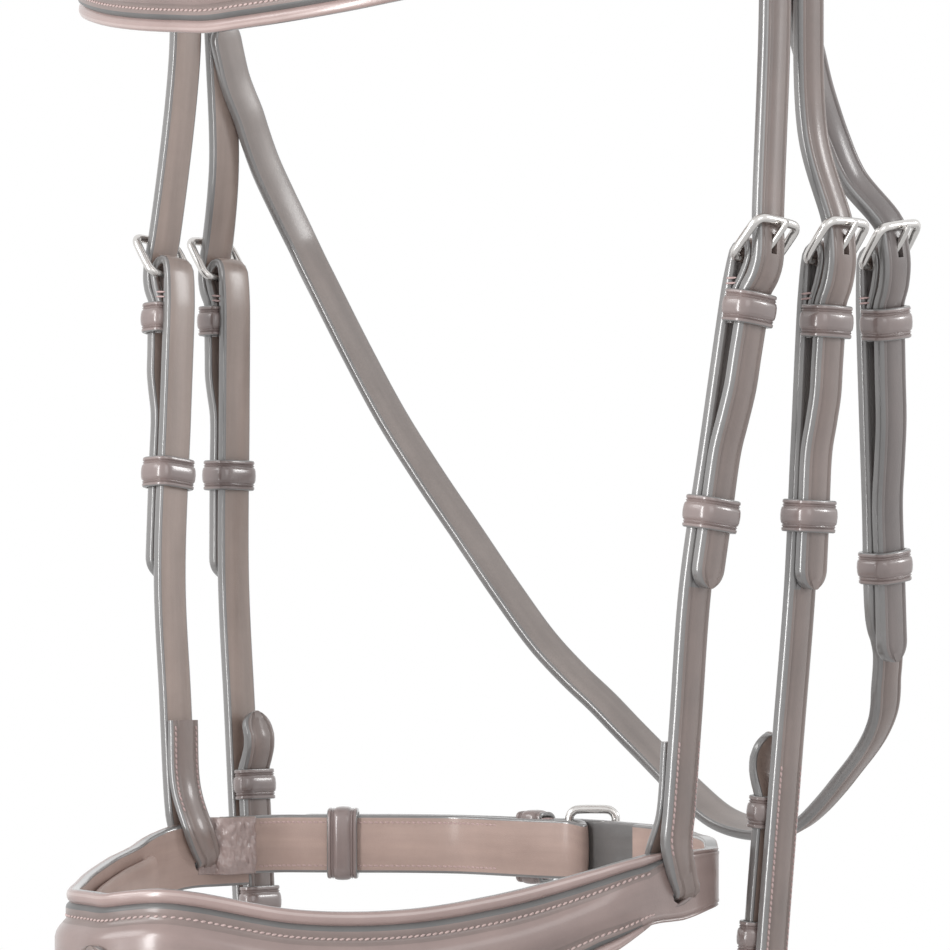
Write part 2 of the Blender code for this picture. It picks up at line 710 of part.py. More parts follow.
def browband_route():
    """Half of the browband's middle line, from its front centre to its near end."""
    end_y = browband_loop_front() - REST_GAP - BROWBAND_THICKNESS * BROW_END_SHARE
    points = []
    for (x, y), dip in zip(BROW_PLAN_SHARES, BROW_DIP_SHARES):
        points.append(Vector((x * LEG_HALF_SPAN, y * BROWBAND_REACH, -BROWBAND_DROP - dip * BROWBAND_DIP)))
    points.append(Vector((LEG_HALF_SPAN, end_y, -BROWBAND_DROP)))
    return smooth(points)


def offset_aside(centres, reach):
    """The centres moved square to the route in plan, to the right of its direction."""
    directions = frames_along(centres, [Vector((0, 0, 1))] * len(centres))
    return [centre + face * reach for centre, (_, face) in zip(centres, directions)]


def make_browband():
    guide = make_pivot("browband_guide", Vector((0, 0, -BROWBAND_DROP)))
    half = browband_route()
    centres = [*reversed(mirrored(half)), *half[1:]]
    stations = [
        Station(centre, BROWBAND_HEIGHT / 2, BROWBAND_THICKNESS / 2, BROWBAND_RISE) for centre in centres
    ]
    upright = Vector((0, 0, 1))
    make_strap("browband", stations, upright, LEATHER, guide, rim=BROWBAND_RIM)
    inward = offset_aside(centres, -(BROWBAND_THICKNESS / 2 + REST_GAP + RUN_GAP + BROWBAND_PADDING / 2))
    padding = [
        Station(centre, (BROWBAND_HEIGHT - BROWBAND_RIM) / 2, BROWBAND_PADDING / 2)
        for centre in inward[BROW_PADDING_SHORT:-BROW_PADDING_SHORT]
    ]
    make_strap("browband_padding", padding, upright, LINING, guide, rounding=BROWBAND_PADDING / 3)
    front = SLIPHEAD_LEG_Y - STRAP_WIDTH / 2
    back = LEG_CENTRE_Y + STRAP_WIDTH
    for name, side in (("near", 1), ("off", -1)):
        frame = stack_frame(
            Vector((side * LEG_HALF_SPAN, 0, -BROWBAND_DROP)),
            Vector((side * LEG_HALF_SPAN, 0, -2 * BROWBAND_DROP)),
            Vector((0, 1, 0)),
        )
        half_across = STRAP_THICKNESS / 2
        make_loop(
            "browband_loop_" + name, frame, 0.0, front, back, half_across, LEATHER, guide,
            length=BROWBAND_HEIGHT - 2 * LOOP_WALL,
        )


def nose_top(share):
    return -NOSE_TOP_DROP - share * NOSE_WAVE


def nose_stations(plan, waves, heights):
    found = []
    for (x, y), wave, height in zip(plan, waves, heights):
        tall = mixed(NOSE_SIDE_HEIGHT, NOSE_FRONT_HEIGHT, height)
        place = Vector((x * NOSE_HALF_SPAN, y * NOSE_REACH, nose_top(wave) - tall / 2))
        found.append((place, tall, height))
    return found


def noseband_half(waves=NOSE_WAVE_SHARES):
    """Half of the noseband from its front centre to just behind the hanger: centre, height, raise share."""
    rows = nose_stations(NOSE_PLAN_SHARES, waves, NOSE_HEIGHT_SHARES)
    centres = smooth([row[0] for row in rows])
    found = []
    for i, centre in enumerate(centres):
        low, share = min(i // 2, len(rows) - 2), (i / 2) - min(i // 2, len(rows) - 2)
        tall = mixed(rows[low][1], rows[low + 1][1], share)
        found.append((centre, tall, mixed(rows[low][2], rows[low + 1][2], share)))
    return found


def noseband_off_half():
    return [(Vector((-c.x, c.y, c.z)), tall, lift) for c, tall, lift in noseband_half(NOSE_WAVE_OFF_SHARES)]


def jaw_points(side):
    """The ring's line behind the hanger, at the jaw strap's middle."""
    return [
        Vector((side * x * NOSE_HALF_SPAN, y * JAW_REACH, -JAW_CENTRE_DROP)) for x, y in JAW_PLAN_SHARES
    ]


def make_noseband():
    """The front band, from behind the off hanger round the nose to its near end beside the jaw."""
    rows = noseband_off_half()[::-1] + noseband_half()[1:]
    stations = [Station(c, tall / 2, NOSE_THICKNESS / 2, NOSE_RISE * lift) for c, tall, lift in rows]
    tail = smooth([rows[-1][0], *jaw_points(1)])[1:]
    for i, centre in enumerate(tail):
        share = min(1.0, (i + 1) / JAW_TAPER_STATIONS)
        tall = mixed(NOSE_SIDE_HEIGHT, JAW_STRAP_WIDTH, share)
        stations.append(Station(centre, tall / 2, mixed(NOSE_THICKNESS, STRAP_THICKNESS, share) / 2, 0.0))
    upright = Vector((0, 0, 1))
    band = make_strap("noseband_front", stations, upright, LEATHER, rim=NOSE_RIM)
    for name, side in (("near", 1), ("off", -1)):
        cut_away(band, slit_cutter("slit_" + name, side))
    centres = [row[0] for row in rows]
    inward = offset_aside(centres, -(NOSE_THICKNESS / 2 + REST_GAP + RUN_GAP + NOSE_PADDING / 2))
    padding = [
        Station(centre, (row[1] - NOSE_RIM) / 2, NOSE_PADDING / 2)
        for centre, row in list(zip(inward, rows))[NOSE_PADDING_SHORT:-NOSE_PADDING_SHORT]
    ]
    make_strap("noseband_padding", padding, upright, LINING, rounding=NOSE_PADDING / 3)


def slit_height():
    return 2 * RUN_GAP + NOSE_THICKNESS / 2 + REST_GAP + SKIVED_THICKNESS


def slit_cutter(name, side):
    """The slit across the noseband that a hanger is folded through."""
    top = nose_top(0.0) - SLIT_DEPTH
    half = STRAP_WIDTH / 2 + RUN_GAP
    reach = NOSE_THICKNESS / 2 + CUT_OVERRUN
    rings = []
    for x in (-reach, reach):
        place = Vector((side * NOSE_HALF_SPAN + x, NOSE_HANG_Y, top))
        corners = ((-half, 0.0), (half, 0.0), (half, -slit_height()), (-half, -slit_height()))
        rings.append([place + Vector((0, y, z)) for y, z in corners])
    return make_cutter(name, rings)


def make_hanger(name, side, stack):
    """From its fold over the buckle bar down the outside of the noseband, through the slit and up inside."""
    skived = SKIVED_THICKNESS / 2
    full = STRAP_THICKNESS / 2
    radius = NOSE_THICKNESS / 2 + REST_GAP + skived
    turn_z = nose_top(0.0) - SLIT_DEPTH
    found = stack.folded_strap()
    last = found[-1].centre
    lip = Vector((side * (NOSE_HALF_SPAN + NOSE_THICKNESS / 2 + REST_GAP + full), NOSE_HANG_Y, nose_top(0.0)))
    for share in HANGER_SHARES:
        found.append(Station(last.lerp(lip, share), STRAP_WIDTH / 2, full))
    found.append(Station(lip, STRAP_WIDTH / 2, full))
    for step in range(SLIT_STEPS + 1):
        turn = math.pi * step / SLIT_STEPS
        place = Vector((radius * math.cos(turn), 0, -radius * math.sin(turn)))
        centre = Vector((side * (NOSE_HALF_SPAN + place.x), NOSE_HANG_Y, turn_z + place.z))
        found.append(Station(centre, STRAP_WIDTH / 2, skived))
    inner = Vector((side * (NOSE_HALF_SPAN - radius), NOSE_HANG_Y, nose_top(0.0)))
    found.append(Station(inner, STRAP_WIDTH / 2, skived))
    top = last.lerp(lip, 1 - (DOUBLED_LENGTH - SLIT_DEPTH) / (last.z - lip.z))
    for share in DOUBLED_SHARES:
        on_main = lip.lerp(top, share)
        shift = full + REST_GAP + skived
        found.append(Station(on_main - Vector((side * shift, 0, 0)), STRAP_WIDTH / 2, skived))
    return make_strap("noseband_hanger_" + name, found, Vector((0, side, 0)), LEATHER)


def bit_bend(side):
    """Where the cheekpiece's outer run ends and its bit loop begins, outside the noseband."""
    height = BIT_LOOP_RADIUS + STRAP_THICKNESS / 2 - BIT_DROP
    return Vector((side * (NOSE_HALF_SPAN + BIT_OUTSET), BIT_Y, height))


def make_cheekpiece(name, side, stack):
    """From its fold over the buckle bar down to the bit loop and back up inside as the hook stud billet."""
    half = STRAP_THICKNESS / 2
    found = stack.folded_strap()
    last = found[-1].centre
    bend = bit_bend(side)
    for share in CHEEK_SHARES:
        found.append(Station(last.lerp(bend, share), STRAP_WIDTH / 2, half))
    found.append(Station(bend, STRAP_WIDTH / 2, half))
    for step in range(1, BIT_LOOP_STEPS + 1):
        turn = math.pi * step / BIT_LOOP_STEPS
        x = BIT_LOOP_RADIUS * (math.cos(turn) - 1)
        place = bend + Vector((side * x, 0, -BIT_LOOP_RADIUS * math.sin(turn)))
        found.append(Station(place, STRAP_WIDTH / 2, half))
    for height in (LOWER_BIT_KEEPER - LOOP_LENGTH / 2, LOWER_BIT_KEEPER, HOOK_BILLET_LENGTH):
        found.append(Station(beside_cheek(side, last, height, -billet_step()), STRAP_WIDTH / 2, half))
    stations = round_the_end(found)
    piece = make_strap("cheekpiece_" + name, stations, Vector((0, side, 0)), LEATHER)
    cut_away(piece, stud_hole_cutter("stud_hole_" + name, side, last))
    cut_away(piece, stack.slot_cutter("slot_cheek_" + name))
    return last


def billet_step():
    """How far the hook stud billet lies inside the cheekpiece, middle to middle."""
    return STRAP_THICKNESS + BIT_KEEPER_WALL + 2 * RUN_GAP


def beside_cheek(side, last, height, step):
    """A place beside the cheekpiece's lower run, this high above the foot of the bit loop."""
    bend = bit_bend(side)
    share = (height - BIT_LOOP_RADIUS - STRAP_THICKNESS / 2) / (last.z - bend.z)
    return bend.lerp(last, share) + Vector((side * step, 0, 0))


def bit_end_frame(side, last, height):
    """A stack frame on the lower cheekpiece: x down it, y out of its outer face."""
    place = beside_cheek(side, last, height, 0.0)
    return stack_frame(place, beside_cheek(side, last, 0.0, 0.0), Vector((side, 0, 0)))


def stud_hole_cutter(name, side, last):
    frame = bit_end_frame(side, last, HOOK_STUD_HEIGHT)
    rings = []
    for reach in (-billet_step() - STRAP_THICKNESS, -STRAP_THICKNESS / 2 - BIT_KEEPER_WALL / 2):
        turns = [2 * math.pi * k / HOLE_SIDES for k in range(HOLE_SIDES)]
        radius = STUD_RADIUS + RUN_GAP
        rings.append([frame @ Vector((radius * math.cos(a), reach, radius * math.sin(a))) for a in turns])
    return make_cutter(name, rings)


def make_hook_stud(name, side, last):
    """A plate on the inner face, a stem through the billet's hole and a rounded hook head."""
    frame = bit_end_frame(side, last, HOOK_STUD_HEIGHT)
    start = -STRAP_THICKNESS / 2 - REST_GAP
    clear = -billet_step() - STRAP_THICKNESS / 2 - RUN_GAP
    edge, foot = STUD_PLATE_SHARES
    turn, crown = STUD_HOOK_SHARES
    plate, head = STUD_PLATE_RADIUS * EDGE_SHARE, STUD_HEAD * EDGE_SHARE
    outline = (
        (start, 0.0, plate),
        (start - STUD_PLATE * edge, 0.0, plate),
        (start - STUD_PLATE * foot, 0.0, STUD_RADIUS),
        (clear, 0.0, STUD_RADIUS),
        (clear - STUD_RADIUS, STUD_RADIUS * turn, head),
        (clear - STUD_RADIUS * crown, STUD_HEAD, head),
        (clear - STUD_RADIUS * crown, STUD_STAND, STUD_RADIUS * EDGE_SHARE),
    )
    centres = [frame @ Vector((down, reach, 0)) for reach, down, _ in outline]
    make_wire("hook_stud_" + name, centres, [row[2] for row in outline], across_of(frame), STEEL)


def make_bit_keepers(name, side, last):
    """Thin keepers that hold the billet and are sewn to the cheekpiece's inner face."""
    low = -billet_step() - STRAP_THICKNESS / 2
    high = low + STRAP_THICKNESS
    for level, height in (("upper", UPPER_BIT_KEEPER), ("lower", LOWER_BIT_KEEPER)):
        frame = bit_end_frame(side, last, height)
        title = "bit_keeper_" + level + "_" + name
        make_loop(title, frame, 0.0, low, high, STRAP_WIDTH / 2, LEATHER, wall=BIT_KEEPER_WALL)


def jaw_line(stack, reach):
    """The jaw strap's middle line from its keeper round the off side, moved outwards by a reach."""
    start = stack.at(stack.keeper + LOOP_LENGTH / 2 + JAW_BEND_ROOM, stack.under)
    points = [start, *reversed(jaw_points(-1)[:-1])]
    return offset_aside(smooth(points), reach)


def make_jaw_strap(stack):
    """From its fold over the jaw buckle round the off side to its lap on the noseband's off end."""
    found = stack.folded_strap()[:-2]
    line = jaw_line(stack, 0.0)
    band = [row[0] for row in noseband_off_half()][-5:]
    lapped = offset_aside(band, NOSE_THICKNESS / 2 + REST_GAP + STRAP_THICKNESS / 2)
    start_y = NOSE_HANG_Y + STRAP_WIDTH / 2 + LAP_GAP
    for centre in reversed(lapped):
        if centre.y > start_y:
            line.append(Vector((centre.x, centre.y, line[-1].z)))
    found += plain_stations(line, stack.width)
    piece = make_strap("jaw_strap", found, Vector((0, 0, 1)), LEATHER)
    cut_away(piece, stack.slot_cutter("slot_jaw"))


def make_jaw_billet(stack):
    """Lapped outside the noseband's near end, through the jaw buckle and on outside the jaw strap."""
    lap = smooth(jaw_points(1)[-3:])
    step = STRAP_THICKNESS + REST_GAP
    outer = offset_aside(lap, step)
    found = plain_stations(outer[1:], stack.width) + stack.billet()[:JAW_BILLET_STATIONS]
    found += plain_stations(jaw_line(stack, step)[2:], stack.width)
    piece = make_strap("jaw_billet", round_the_end(found), Vector((0, 0, 1)), LEATHER)
    cut_away(piece, stack.hole_cutter("hole_jaw"))


def make_jaw_runner(stack):
    """The jaw runner sits on the straight stretch beside the jaw."""
    after, place = jaw_points(-1)[:2]
    frame = stack_frame(place, after, Vector((0, 1, 0)))
    half = STRAP_THICKNESS / 2
    guide = make_pivot("runner_guide_jaw", place)
    high = half + REST_GAP + STRAP_THICKNESS
    make_loop("runner_jaw", frame, 0.0, -half, high, stack.width / 2, LEATHER, guide)


def make_flash_loop():
    """A strip stitched to the noseband's face, looped round the flash strap and ending under the band."""
    half = FLASH_LOOP_THICKNESS / 2
    radius = flash_bend()
    middle_y = -flash_reach()
    low = -FLASH_DROP - STRAP_WIDTH / 2
    band_foot = nose_top(1.0) - NOSE_FRONT_HEIGHT
    found = [Vector((0, middle_y + radius, band_foot - FLASH_CLEARANCE)), Vector((0, middle_y + radius, low))]
    for step in range(1, FLASH_STEPS + 1):
        turn = math.pi * step / FLASH_STEPS
        found.append(Vector((0, middle_y + radius * math.cos(turn), low - radius * math.sin(turn))))
    found.append(Vector((0, middle_y - radius, mixed(low, -FLASH_LOOP_TOP, FLASH_LOOP_SHARE))))
    found.append(Vector((0, middle_y - radius, -FLASH_LOOP_TOP)))
    stations = [Station(centre, FLASH_LOOP_WIDTH / 2, half) for centre in found]
    make_strap("flash_loop", round_the_end(stations), Vector((1, 0, 0)), LEATHER, rounding=half / 2)


def make_flash_strap(stack, pivot):
    """One strap: folded over its buckle bar, forward through the loop, round the chin and over itself."""
    half = STRAP_THICKNESS / 2
    front = [flash_place(x, y) for x, y in reversed(FLASH_FRONT_SHARES[:-1])]
    front += [flash_place(-x, y) for x, y in FLASH_FRONT_SHARES[1:]]
    side = [flash_place(-1.0, FLASH_BAR_Y / flash_reach())]
    back = [flash_place(-x, y) for x, y in FLASH_BACK_SHARES]
    back += [flash_place(x, y) for x, y in reversed(FLASH_BACK_SHARES[:-1])]
    billet = stack.billet()
    found = stack.folded_strap()
    line = smooth([found[-1].centre, *front, *side, *back, billet[0].centre])[1:-1]
    found += [Station(centre, STRAP_WIDTH / 2, half) for centre in line]
    found += billet
    piece = make_strap("flash_strap", found, Vector((0, 0, 1)), LEATHER, pivot)
    cut_away(piece, stack.slot_cutter("slot_flash"))
    cut_away(piece, stack.hole_cutter("hole_flash"))


def throat_points(shares):
    points = []
    for x, y, z in shares:
        drop = mixed(THROAT_SWING_DROP, THROAT_DROP, z)
        points.append(Vector((x * LEG_HALF_SPAN, y * THROAT_REACH, -drop)))
    return points


def swing_tip(side, toward):
    """The half-round top of a throat strap, inside the headpiece leg and centred on the swing axis."""
    x = LEG_HALF_SPAN - STRAP_THICKNESS - RUN_GAP
    axis = Vector((side * x, THROAT_SWING_Y, -THROAT_SWING_DROP))
    return axis + (axis - toward).normalized() * STRAP_WIDTH / 2


def make_throatlatch(stack, pivot):
    """The long strap from the off leg under the throat to its fold over the near throat buckle."""
    points = throat_points(THROAT_PLAN_SHARES)
    folded = stack.folded_strap()
    tip = swing_tip(-1, points[0])
    line = smooth([folded[-1].centre, *reversed(points), tip])[1:]
    lean = Vector((0, THROAT_SWING_Y - THROAT_REACH, THROAT_DROP - THROAT_SWING_DROP))
    across = lean.normalized().cross(Vector((1, 0, 0)))
    stations = round_the_end(folded + plain_stations(line))
    piece = make_strap("throatlatch", stations, across, LEATHER, pivot)
    cut_away(piece, stack.slot_cutter("slot_throat"))


def make_throat_billet(stack, pivot):
    """The near throat strap, from the swing axis down through the throat buckle."""
    points = throat_points(THROAT_BILLET_SHARES)
    top = plain_stations([swing_tip(1, points[0]), *points])
    rounded = round_the_end(top[::-1])[::-1]
    piece = make_strap("throat_billet", rounded + stack.billet(), across_of(stack.frame), LEATHER, pivot)
    cut_away(piece, stack.hole_cutter("hole_throat"))


def build():
    clear_scene()
    hangers = {1: hanger_stack(1, NEAR_RUNNER_DROP), -1: hanger_stack(-1, OFF_RUNNER_DROP)}
    cheeks = {1: cheek_stack(1, NEAR_RUNNER_DROP), -1: cheek_stack(-1, OFF_RUNNER_DROP)}
    throat, jaw, flash = throat_stack(), jaw_stack(), flash_stack()
    head = make_headpiece(cheeks[1], cheeks[-1])
    slip = make_sliphead(hangers[1], hangers[-1])
    make_crown_pad()
    make_browband()
    make_noseband()
    for name, side in (("near", 1), ("off", -1)):
        hanger, cheek = hangers[side], cheeks[side]
        cut_away(head, cheek.hole_cutter("hole_cheek_" + name))
        cut_away(slip, hanger.hole_cutter("hole_hanger_" + name))
        piece = make_hanger(name, side, hanger)
        cut_away(piece, hanger.slot_cutter("slot_hanger_" + name))
        last = make_cheekpiece(name, side, cheek)
        make_hook_stud(name, side, last)
        make_bit_keepers(name, side, last)
        make_buckle("hanger_" + name, hanger)
        make_buckle("cheek_" + name, cheek)
        make_runner("hanger_" + name, hanger)
        make_runner("cheek_" + name, cheek)
    make_jaw_strap(jaw)
    make_jaw_billet(jaw)
    make_buckle("jaw", jaw)
    make_jaw_runner(jaw)
    throat_pivot = make_pivot("throatlatch_swing", Vector((0, THROAT_SWING_Y, -THROAT_SWING_DROP)))
    make_throatlatch(throat, throat_pivot)
    make_throat_billet(throat, throat_pivot)
    make_buckle("throat", throat, throat_pivot)
    make_runner("throat", throat)
    flash_pivot = make_pivot("flash_swing", Vector((0, -flash_reach(), -FLASH_DROP)))
    make_flash_loop()
    make_flash_strap(flash, flash_pivot)
    make_buckle("flash", flash, flash_pivot)
    make_runner("flash", flash)


build()
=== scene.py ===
"""Flash noseband bridle: leather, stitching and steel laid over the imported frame.

The routes and buckled stacks repeat the CAD's sizes. Straps are laid along stations with a grain face
outwards and a flesh face inwards, and stitches, punched holes and steel follow the same stations.
"""

import math
from collections import namedtuple

import bpy
from mathutils import Matrix, Vector, noise


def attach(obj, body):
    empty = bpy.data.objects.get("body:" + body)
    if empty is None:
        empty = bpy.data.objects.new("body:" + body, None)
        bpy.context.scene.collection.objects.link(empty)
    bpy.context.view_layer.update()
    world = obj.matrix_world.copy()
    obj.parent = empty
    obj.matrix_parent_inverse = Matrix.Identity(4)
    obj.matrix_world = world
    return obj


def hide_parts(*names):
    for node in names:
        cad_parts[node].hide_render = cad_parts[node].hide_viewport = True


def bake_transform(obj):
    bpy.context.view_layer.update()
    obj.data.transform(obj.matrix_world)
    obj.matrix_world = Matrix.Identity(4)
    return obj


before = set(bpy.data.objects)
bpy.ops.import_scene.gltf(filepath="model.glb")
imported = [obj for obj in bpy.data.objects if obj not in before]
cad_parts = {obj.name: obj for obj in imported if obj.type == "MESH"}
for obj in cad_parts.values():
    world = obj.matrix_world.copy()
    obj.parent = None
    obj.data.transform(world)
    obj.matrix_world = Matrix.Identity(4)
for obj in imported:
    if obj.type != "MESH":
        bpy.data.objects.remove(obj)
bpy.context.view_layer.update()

# Sizes that repeat the CAD's
STRAP_WIDTH = 0.0127
STRAP_THICKNESS = 0.00375
SKIVED_THICKNESS = 0.0024
JAW_STRAP_WIDTH = 0.019
CUT_OVERRUN = 0.003
SLIT_GAP = 0.0013
REST_GAP = 0.0003
RUN_GAP = 0.0004
LOOP_LENGTH = 0.010
LOOP_WALL = 0.0016
RUNNER_TRAVEL = 0.010
WIRE_RADIUS = 0.0014
BUCKLE_REACH = 0.015
BUCKLE_SIDE_GAP = 0.0019
BUCKLE_CORNER = 0.003
BUCKLE_TILT = math.radians(34)
TONGUE_RADIUS = 0.0011
TONGUE_OVERHANG = 0.0022
TONGUE_GAP = 0.00025
TONGUE_LIFT = math.radians(12)
TONGUE_WRAP = math.radians(285)
BILLET_BOW = 0.0028
CROWN_PAD_THICKNESS = 0.008
CROWN_PAD_WIDTH = 0.050
CROWN_PAD_CENTRE_Y = 0.011
CROWN_FLAT = 0.015
CROWN_RISE = 0.065
CROWN_WIDTH = 0.034
CROWN_CENTRE_Y = 0.019
SLIPHEAD_CROWN_Y = -0.0055
LEG_HALF_SPAN = 0.126
LEG_CENTRE_Y = 0.0189
LEG_SPLIT_DROP = 0.0905
SLIPHEAD_LEG_Y = -0.004
BROWBAND_DROP = 0.077
BROWBAND_DIP = 0.017
BROWBAND_REACH = 0.120
BROWBAND_HEIGHT = 0.026
BROWBAND_THICKNESS = 0.0036
BROWBAND_RISE = 0.0026
BROWBAND_PADDING = 0.0034
BUCKLE_DROP = 0.176
HANGER_BAR_X = 0.1235
HANGER_BAR_Y = -0.0123
HANGER_LEAN_X = 0.006
HANGER_LEAN_Y = -0.0097
CHEEK_BAR_X = 0.1277
CHEEK_BAR_Y = 0.0178
CHEEK_LEAN_X = 0.0023
CHEEK_LEAN_Y = -0.0028
THROAT_BAR_X = 0.1265
THROAT_BAR_Y = 0.0465
THROAT_LEAN_X = 0.0034
THROAT_LEAN_Y = 0.008
LEAN_LENGTH = 0.076
KEEPER_DROP = 0.0145
CHEEK_KEEPER_DROP = 0.018
NEAR_RUNNER_DROP = 0.0775
OFF_RUNNER_DROP = 0.066
THROAT_RUNNER_DROP = 0.094
BILLET_TAIL = 0.100
THROAT_BILLET_TAIL = 0.124
NOSE_HALF_SPAN = 0.1015
NOSE_REACH = 0.1626
NOSE_TOP_DROP = 0.355
NOSE_WAVE = 0.010
NOSE_HANG_Y = -0.0262
NOSE_FRONT_HEIGHT = 0.034
NOSE_SIDE_HEIGHT = 0.021
NOSE_THICKNESS = 0.004
NOSE_RISE = 0.0034
NOSE_PADDING = 0.004
SLIT_DEPTH = 0.0104
DOUBLED_LENGTH = 0.044
JAW_REACH = 0.049
JAW_BAR_X = -0.003
JAW_LEAN_Y = -0.0014
JAW_KEEPER_DROP = 0.015
JAW_CENTRE_DROP = 0.3625
LAP_GAP = 0.0012
JAW_BEND_ROOM = 0.002
BIT_DROP = 0.417
BIT_OUTSET = 0.0085
BIT_Y = 0.0115
BIT_LOOP_RADIUS = 0.0075
HOOK_BILLET_LENGTH = 0.097
BIT_KEEPER_WALL = 0.0011
UPPER_BIT_KEEPER = 0.0725
LOWER_BIT_KEEPER = 0.034
HOOK_STUD_HEIGHT = 0.054
STUD_PLATE = 0.0009
STUD_PLATE_RADIUS = 0.003
STUD_RADIUS = 0.0012
STUD_HEAD = 0.0019
STUD_STAND = 0.0034
THROAT_DROP = 0.3555
THROAT_REACH = 0.088
THROAT_SWING_DROP = 0.0975
THROAT_SWING_Y = 0.0115
FLASH_DROP = 0.4125
FLASH_HALF_SPAN = 0.084
FLASH_BACK = 0.027
CHIN_DROP = 0.471
FLASH_LOOP_WIDTH = 0.018
FLASH_LOOP_THICKNESS = 0.002
FLASH_LOOP_TOP = 0.380
FLASH_CLEARANCE = 0.0012
FLASH_BAR_Y = -0.034
FLASH_KEEPER_DROP = 0.015
FLASH_RUNNER_DROP = 0.040
FLASH_RUNNER_TRAVEL = 0.006
FLASH_BILLET_TAIL = 0.060

ARCH_SHARES = (0.0, 0.16, 0.32, 0.48, 0.64, 0.8, 0.92, 1.0)
ROUND_END_SHARES = (0.0, 0.16, 0.32, 0.47, 0.61, 0.74, 0.85, 0.93, 0.98)
BROW_PLAN_SHARES = (
    (0.0, -1.0), (0.2, -0.985), (0.4, -0.935), (0.58, -0.84), (0.73, -0.67), (0.86, -0.44), (0.96, -0.23),
)
BROW_DIP_SHARES = (1.0, 0.9, 0.72, 0.45, 0.15, 0.0, 0.0)
NOSE_PLAN_SHARES = (
    (0.0, -1.0), (0.176, -0.972), (0.294, -0.91), (0.412, -0.824), (0.539, -0.726), (0.667, -0.615),
    (0.784, -0.504), (0.882, -0.394), (0.962, -0.31), (1.0, -0.235), (1.0, -0.165), (1.0, -0.095),
    (0.978, -0.015),
)
NOSE_WAVE_SHARES = (1.0, 0.8, 1.03, 1.38, 1.52, 1.45, 1.15, 0.74, 0.34, 0.08, 0.0, 0.0, 0.0)
NOSE_WAVE_OFF_SHARES = (1.0, 1.0, 1.04, 1.02, 0.92, 0.8, 0.66, 0.51, 0.35, 0.15, 0.0, 0.0, 0.0)
NOSE_HEIGHT_SHARES = (1.0, 1.0, 1.0, 0.97, 0.92, 0.86, 0.78, 0.62, 0.35, 0.0, 0.0, 0.0, 0.0)
JAW_PLAN_SHARES = ((0.9, 0.13), (0.745, 0.39), (0.668, 0.52), (0.59, 0.65), (0.43, 0.84), (0.28, 0.94))
THROAT_PLAN_SHARES = (
    (-0.968, 0.176, 0.048), (-0.964, 0.244, 0.093), (-0.96, 0.335, 0.159), (-0.937, 0.498, 0.256),
    (-0.873, 0.534, 0.32), (-0.714, 0.66, 0.485), (-0.516, 0.773, 0.634), (-0.317, 0.886, 0.7735),
    (-0.159, 0.966, 0.85), (0.0, 1.0, 0.9165), (0.238, 0.977, 0.9895), (0.436, 0.955, 1.0),
    (0.55, 0.955, 0.98), (0.675, 0.955, 0.923), (0.778, 0.9, 0.882), (0.845, 0.845, 0.8455),
    (0.885, 0.785, 0.809), (0.915, 0.74, 0.7645),
)
THROAT_BILLET_SHARES = ((0.968, 0.195, 0.05), (0.968, 0.256, 0.103), (0.968, 0.336, 0.153), (0.985, 0.405, 0.2))
FLASH_FRONT_SHARES = ((0.0, -1.0), (0.17, -0.991), (0.35, -0.91), (0.54, -0.79), (0.74, -0.625), (0.9, -0.43))
FLASH_BACK_SHARES = ((0.86, 0.25), (0.63, 0.72), (0.33, 0.95), (0.0, 1.0))

# Sizes of the looks
RING_STEP = 0.0022
EDGE_ROUND = 0.0018
CREASE_INSET = 0.0026
CREASE_DEPTH = 0.0003
CREASE_HALF = 0.00045
STITCH_PITCH = 0.0018
BAND_PITCH = 0.00195
STITCH_HALF = 0.00082
STITCH_RADIUS = 0.00036
STITCH_FLATNESS = 0.8
STITCH_LEAN = math.radians(14)
STITCH_INSET = 0.0017
OVERCAST_PITCH = 0.0016
OVERCAST_STRETCH = 2.6
OVERCAST_SHIFT = 0.0004
OVERCAST_LEAN = math.radians(6)
HOLE_RADIUS = 0.0008
HOLE_EASE = 0.00015
HOLE_SINK = 0.0003
PUNCH_DEPTH = 0.0008
PUNCH_RIM_LIFT = 0.00012
PUNCH_FLOOR_SINK = 0.0001
SEAM_END = 0.004
DOME = 0.00035
FLESH_DOME = 0.0004
BACK_ROUND = 0.0009
ROLL_WIDTH = 0.0038
ROLL_SINK = 0.0010
ROLL_RUN_OUT = 0.010
FULL_ROLL_RISE = 0.0015
LEDGE_REACH = 0.0080
FLAT_LEDGE_REACH = 0.0030
LEDGE_LIFT = 0.0004
LEDGE_STEP = 0.0008
LEDGE_FOOT = 0.0091
STITCH_BED = 0.00015
PAD_LIFT = 0.0003
KEEPER_BEND = 0.0030
KEEPER_STEP = 0.0011
KEEPER_EDGE = 0.0007
KEEPER_CROWN = 0.0005
KEEPER_BOW = 0.0004
KEEPER_CREASES = ((0.0011, 0.0), (0.0014, -0.00038), (0.0018, 0.0), (0.0022, -0.0003), (0.0027, 0.0002))
SEWN_BEND = 0.0011
WIRE_STEP = 0.0007
STUD_STEP = 0.0004
FOLD_PLUMP = 0.0006
FOLD_HEAD = 0.0018
NEAR_END_RISE = 0.0038
FLASH_TUCK = 0.003
BILLET_END_BOW = 0.0032
SLIT_LEAN = math.radians(27)
SLIT_SHIFT = 0.0052
SLIT_HALF = 0.0050
SLIT_OPEN = 0.0040
SLIT_END = ((0.0003, 0.5), (-0.0006, 0.85), (-0.0016, 1.0))
WELT_RADIUS = 0.00075
WELT_PROUD = 0.0002
WELT_OVERRUN = 0.0012
WELT_STEP = 0.0006
PATCH_PROUD = 0.0006
PATCH_STEP = 0.00035
PATCH_WRINKLE = 0.00036
PATCH_WRINKLE_LENGTH = 0.0016
SPLIT_HIDDEN = -0.078
HOOK_BILLET_BOWS = ((0.2, 0.5), (0.42, 0.95), (0.62, 1.0), (1.0, 0.35))
HOOK_BILLET_ROOM = 0.12
CHEEK_SEAM_RISE = 0.014
CHEEK_SEAM_END = 0.002
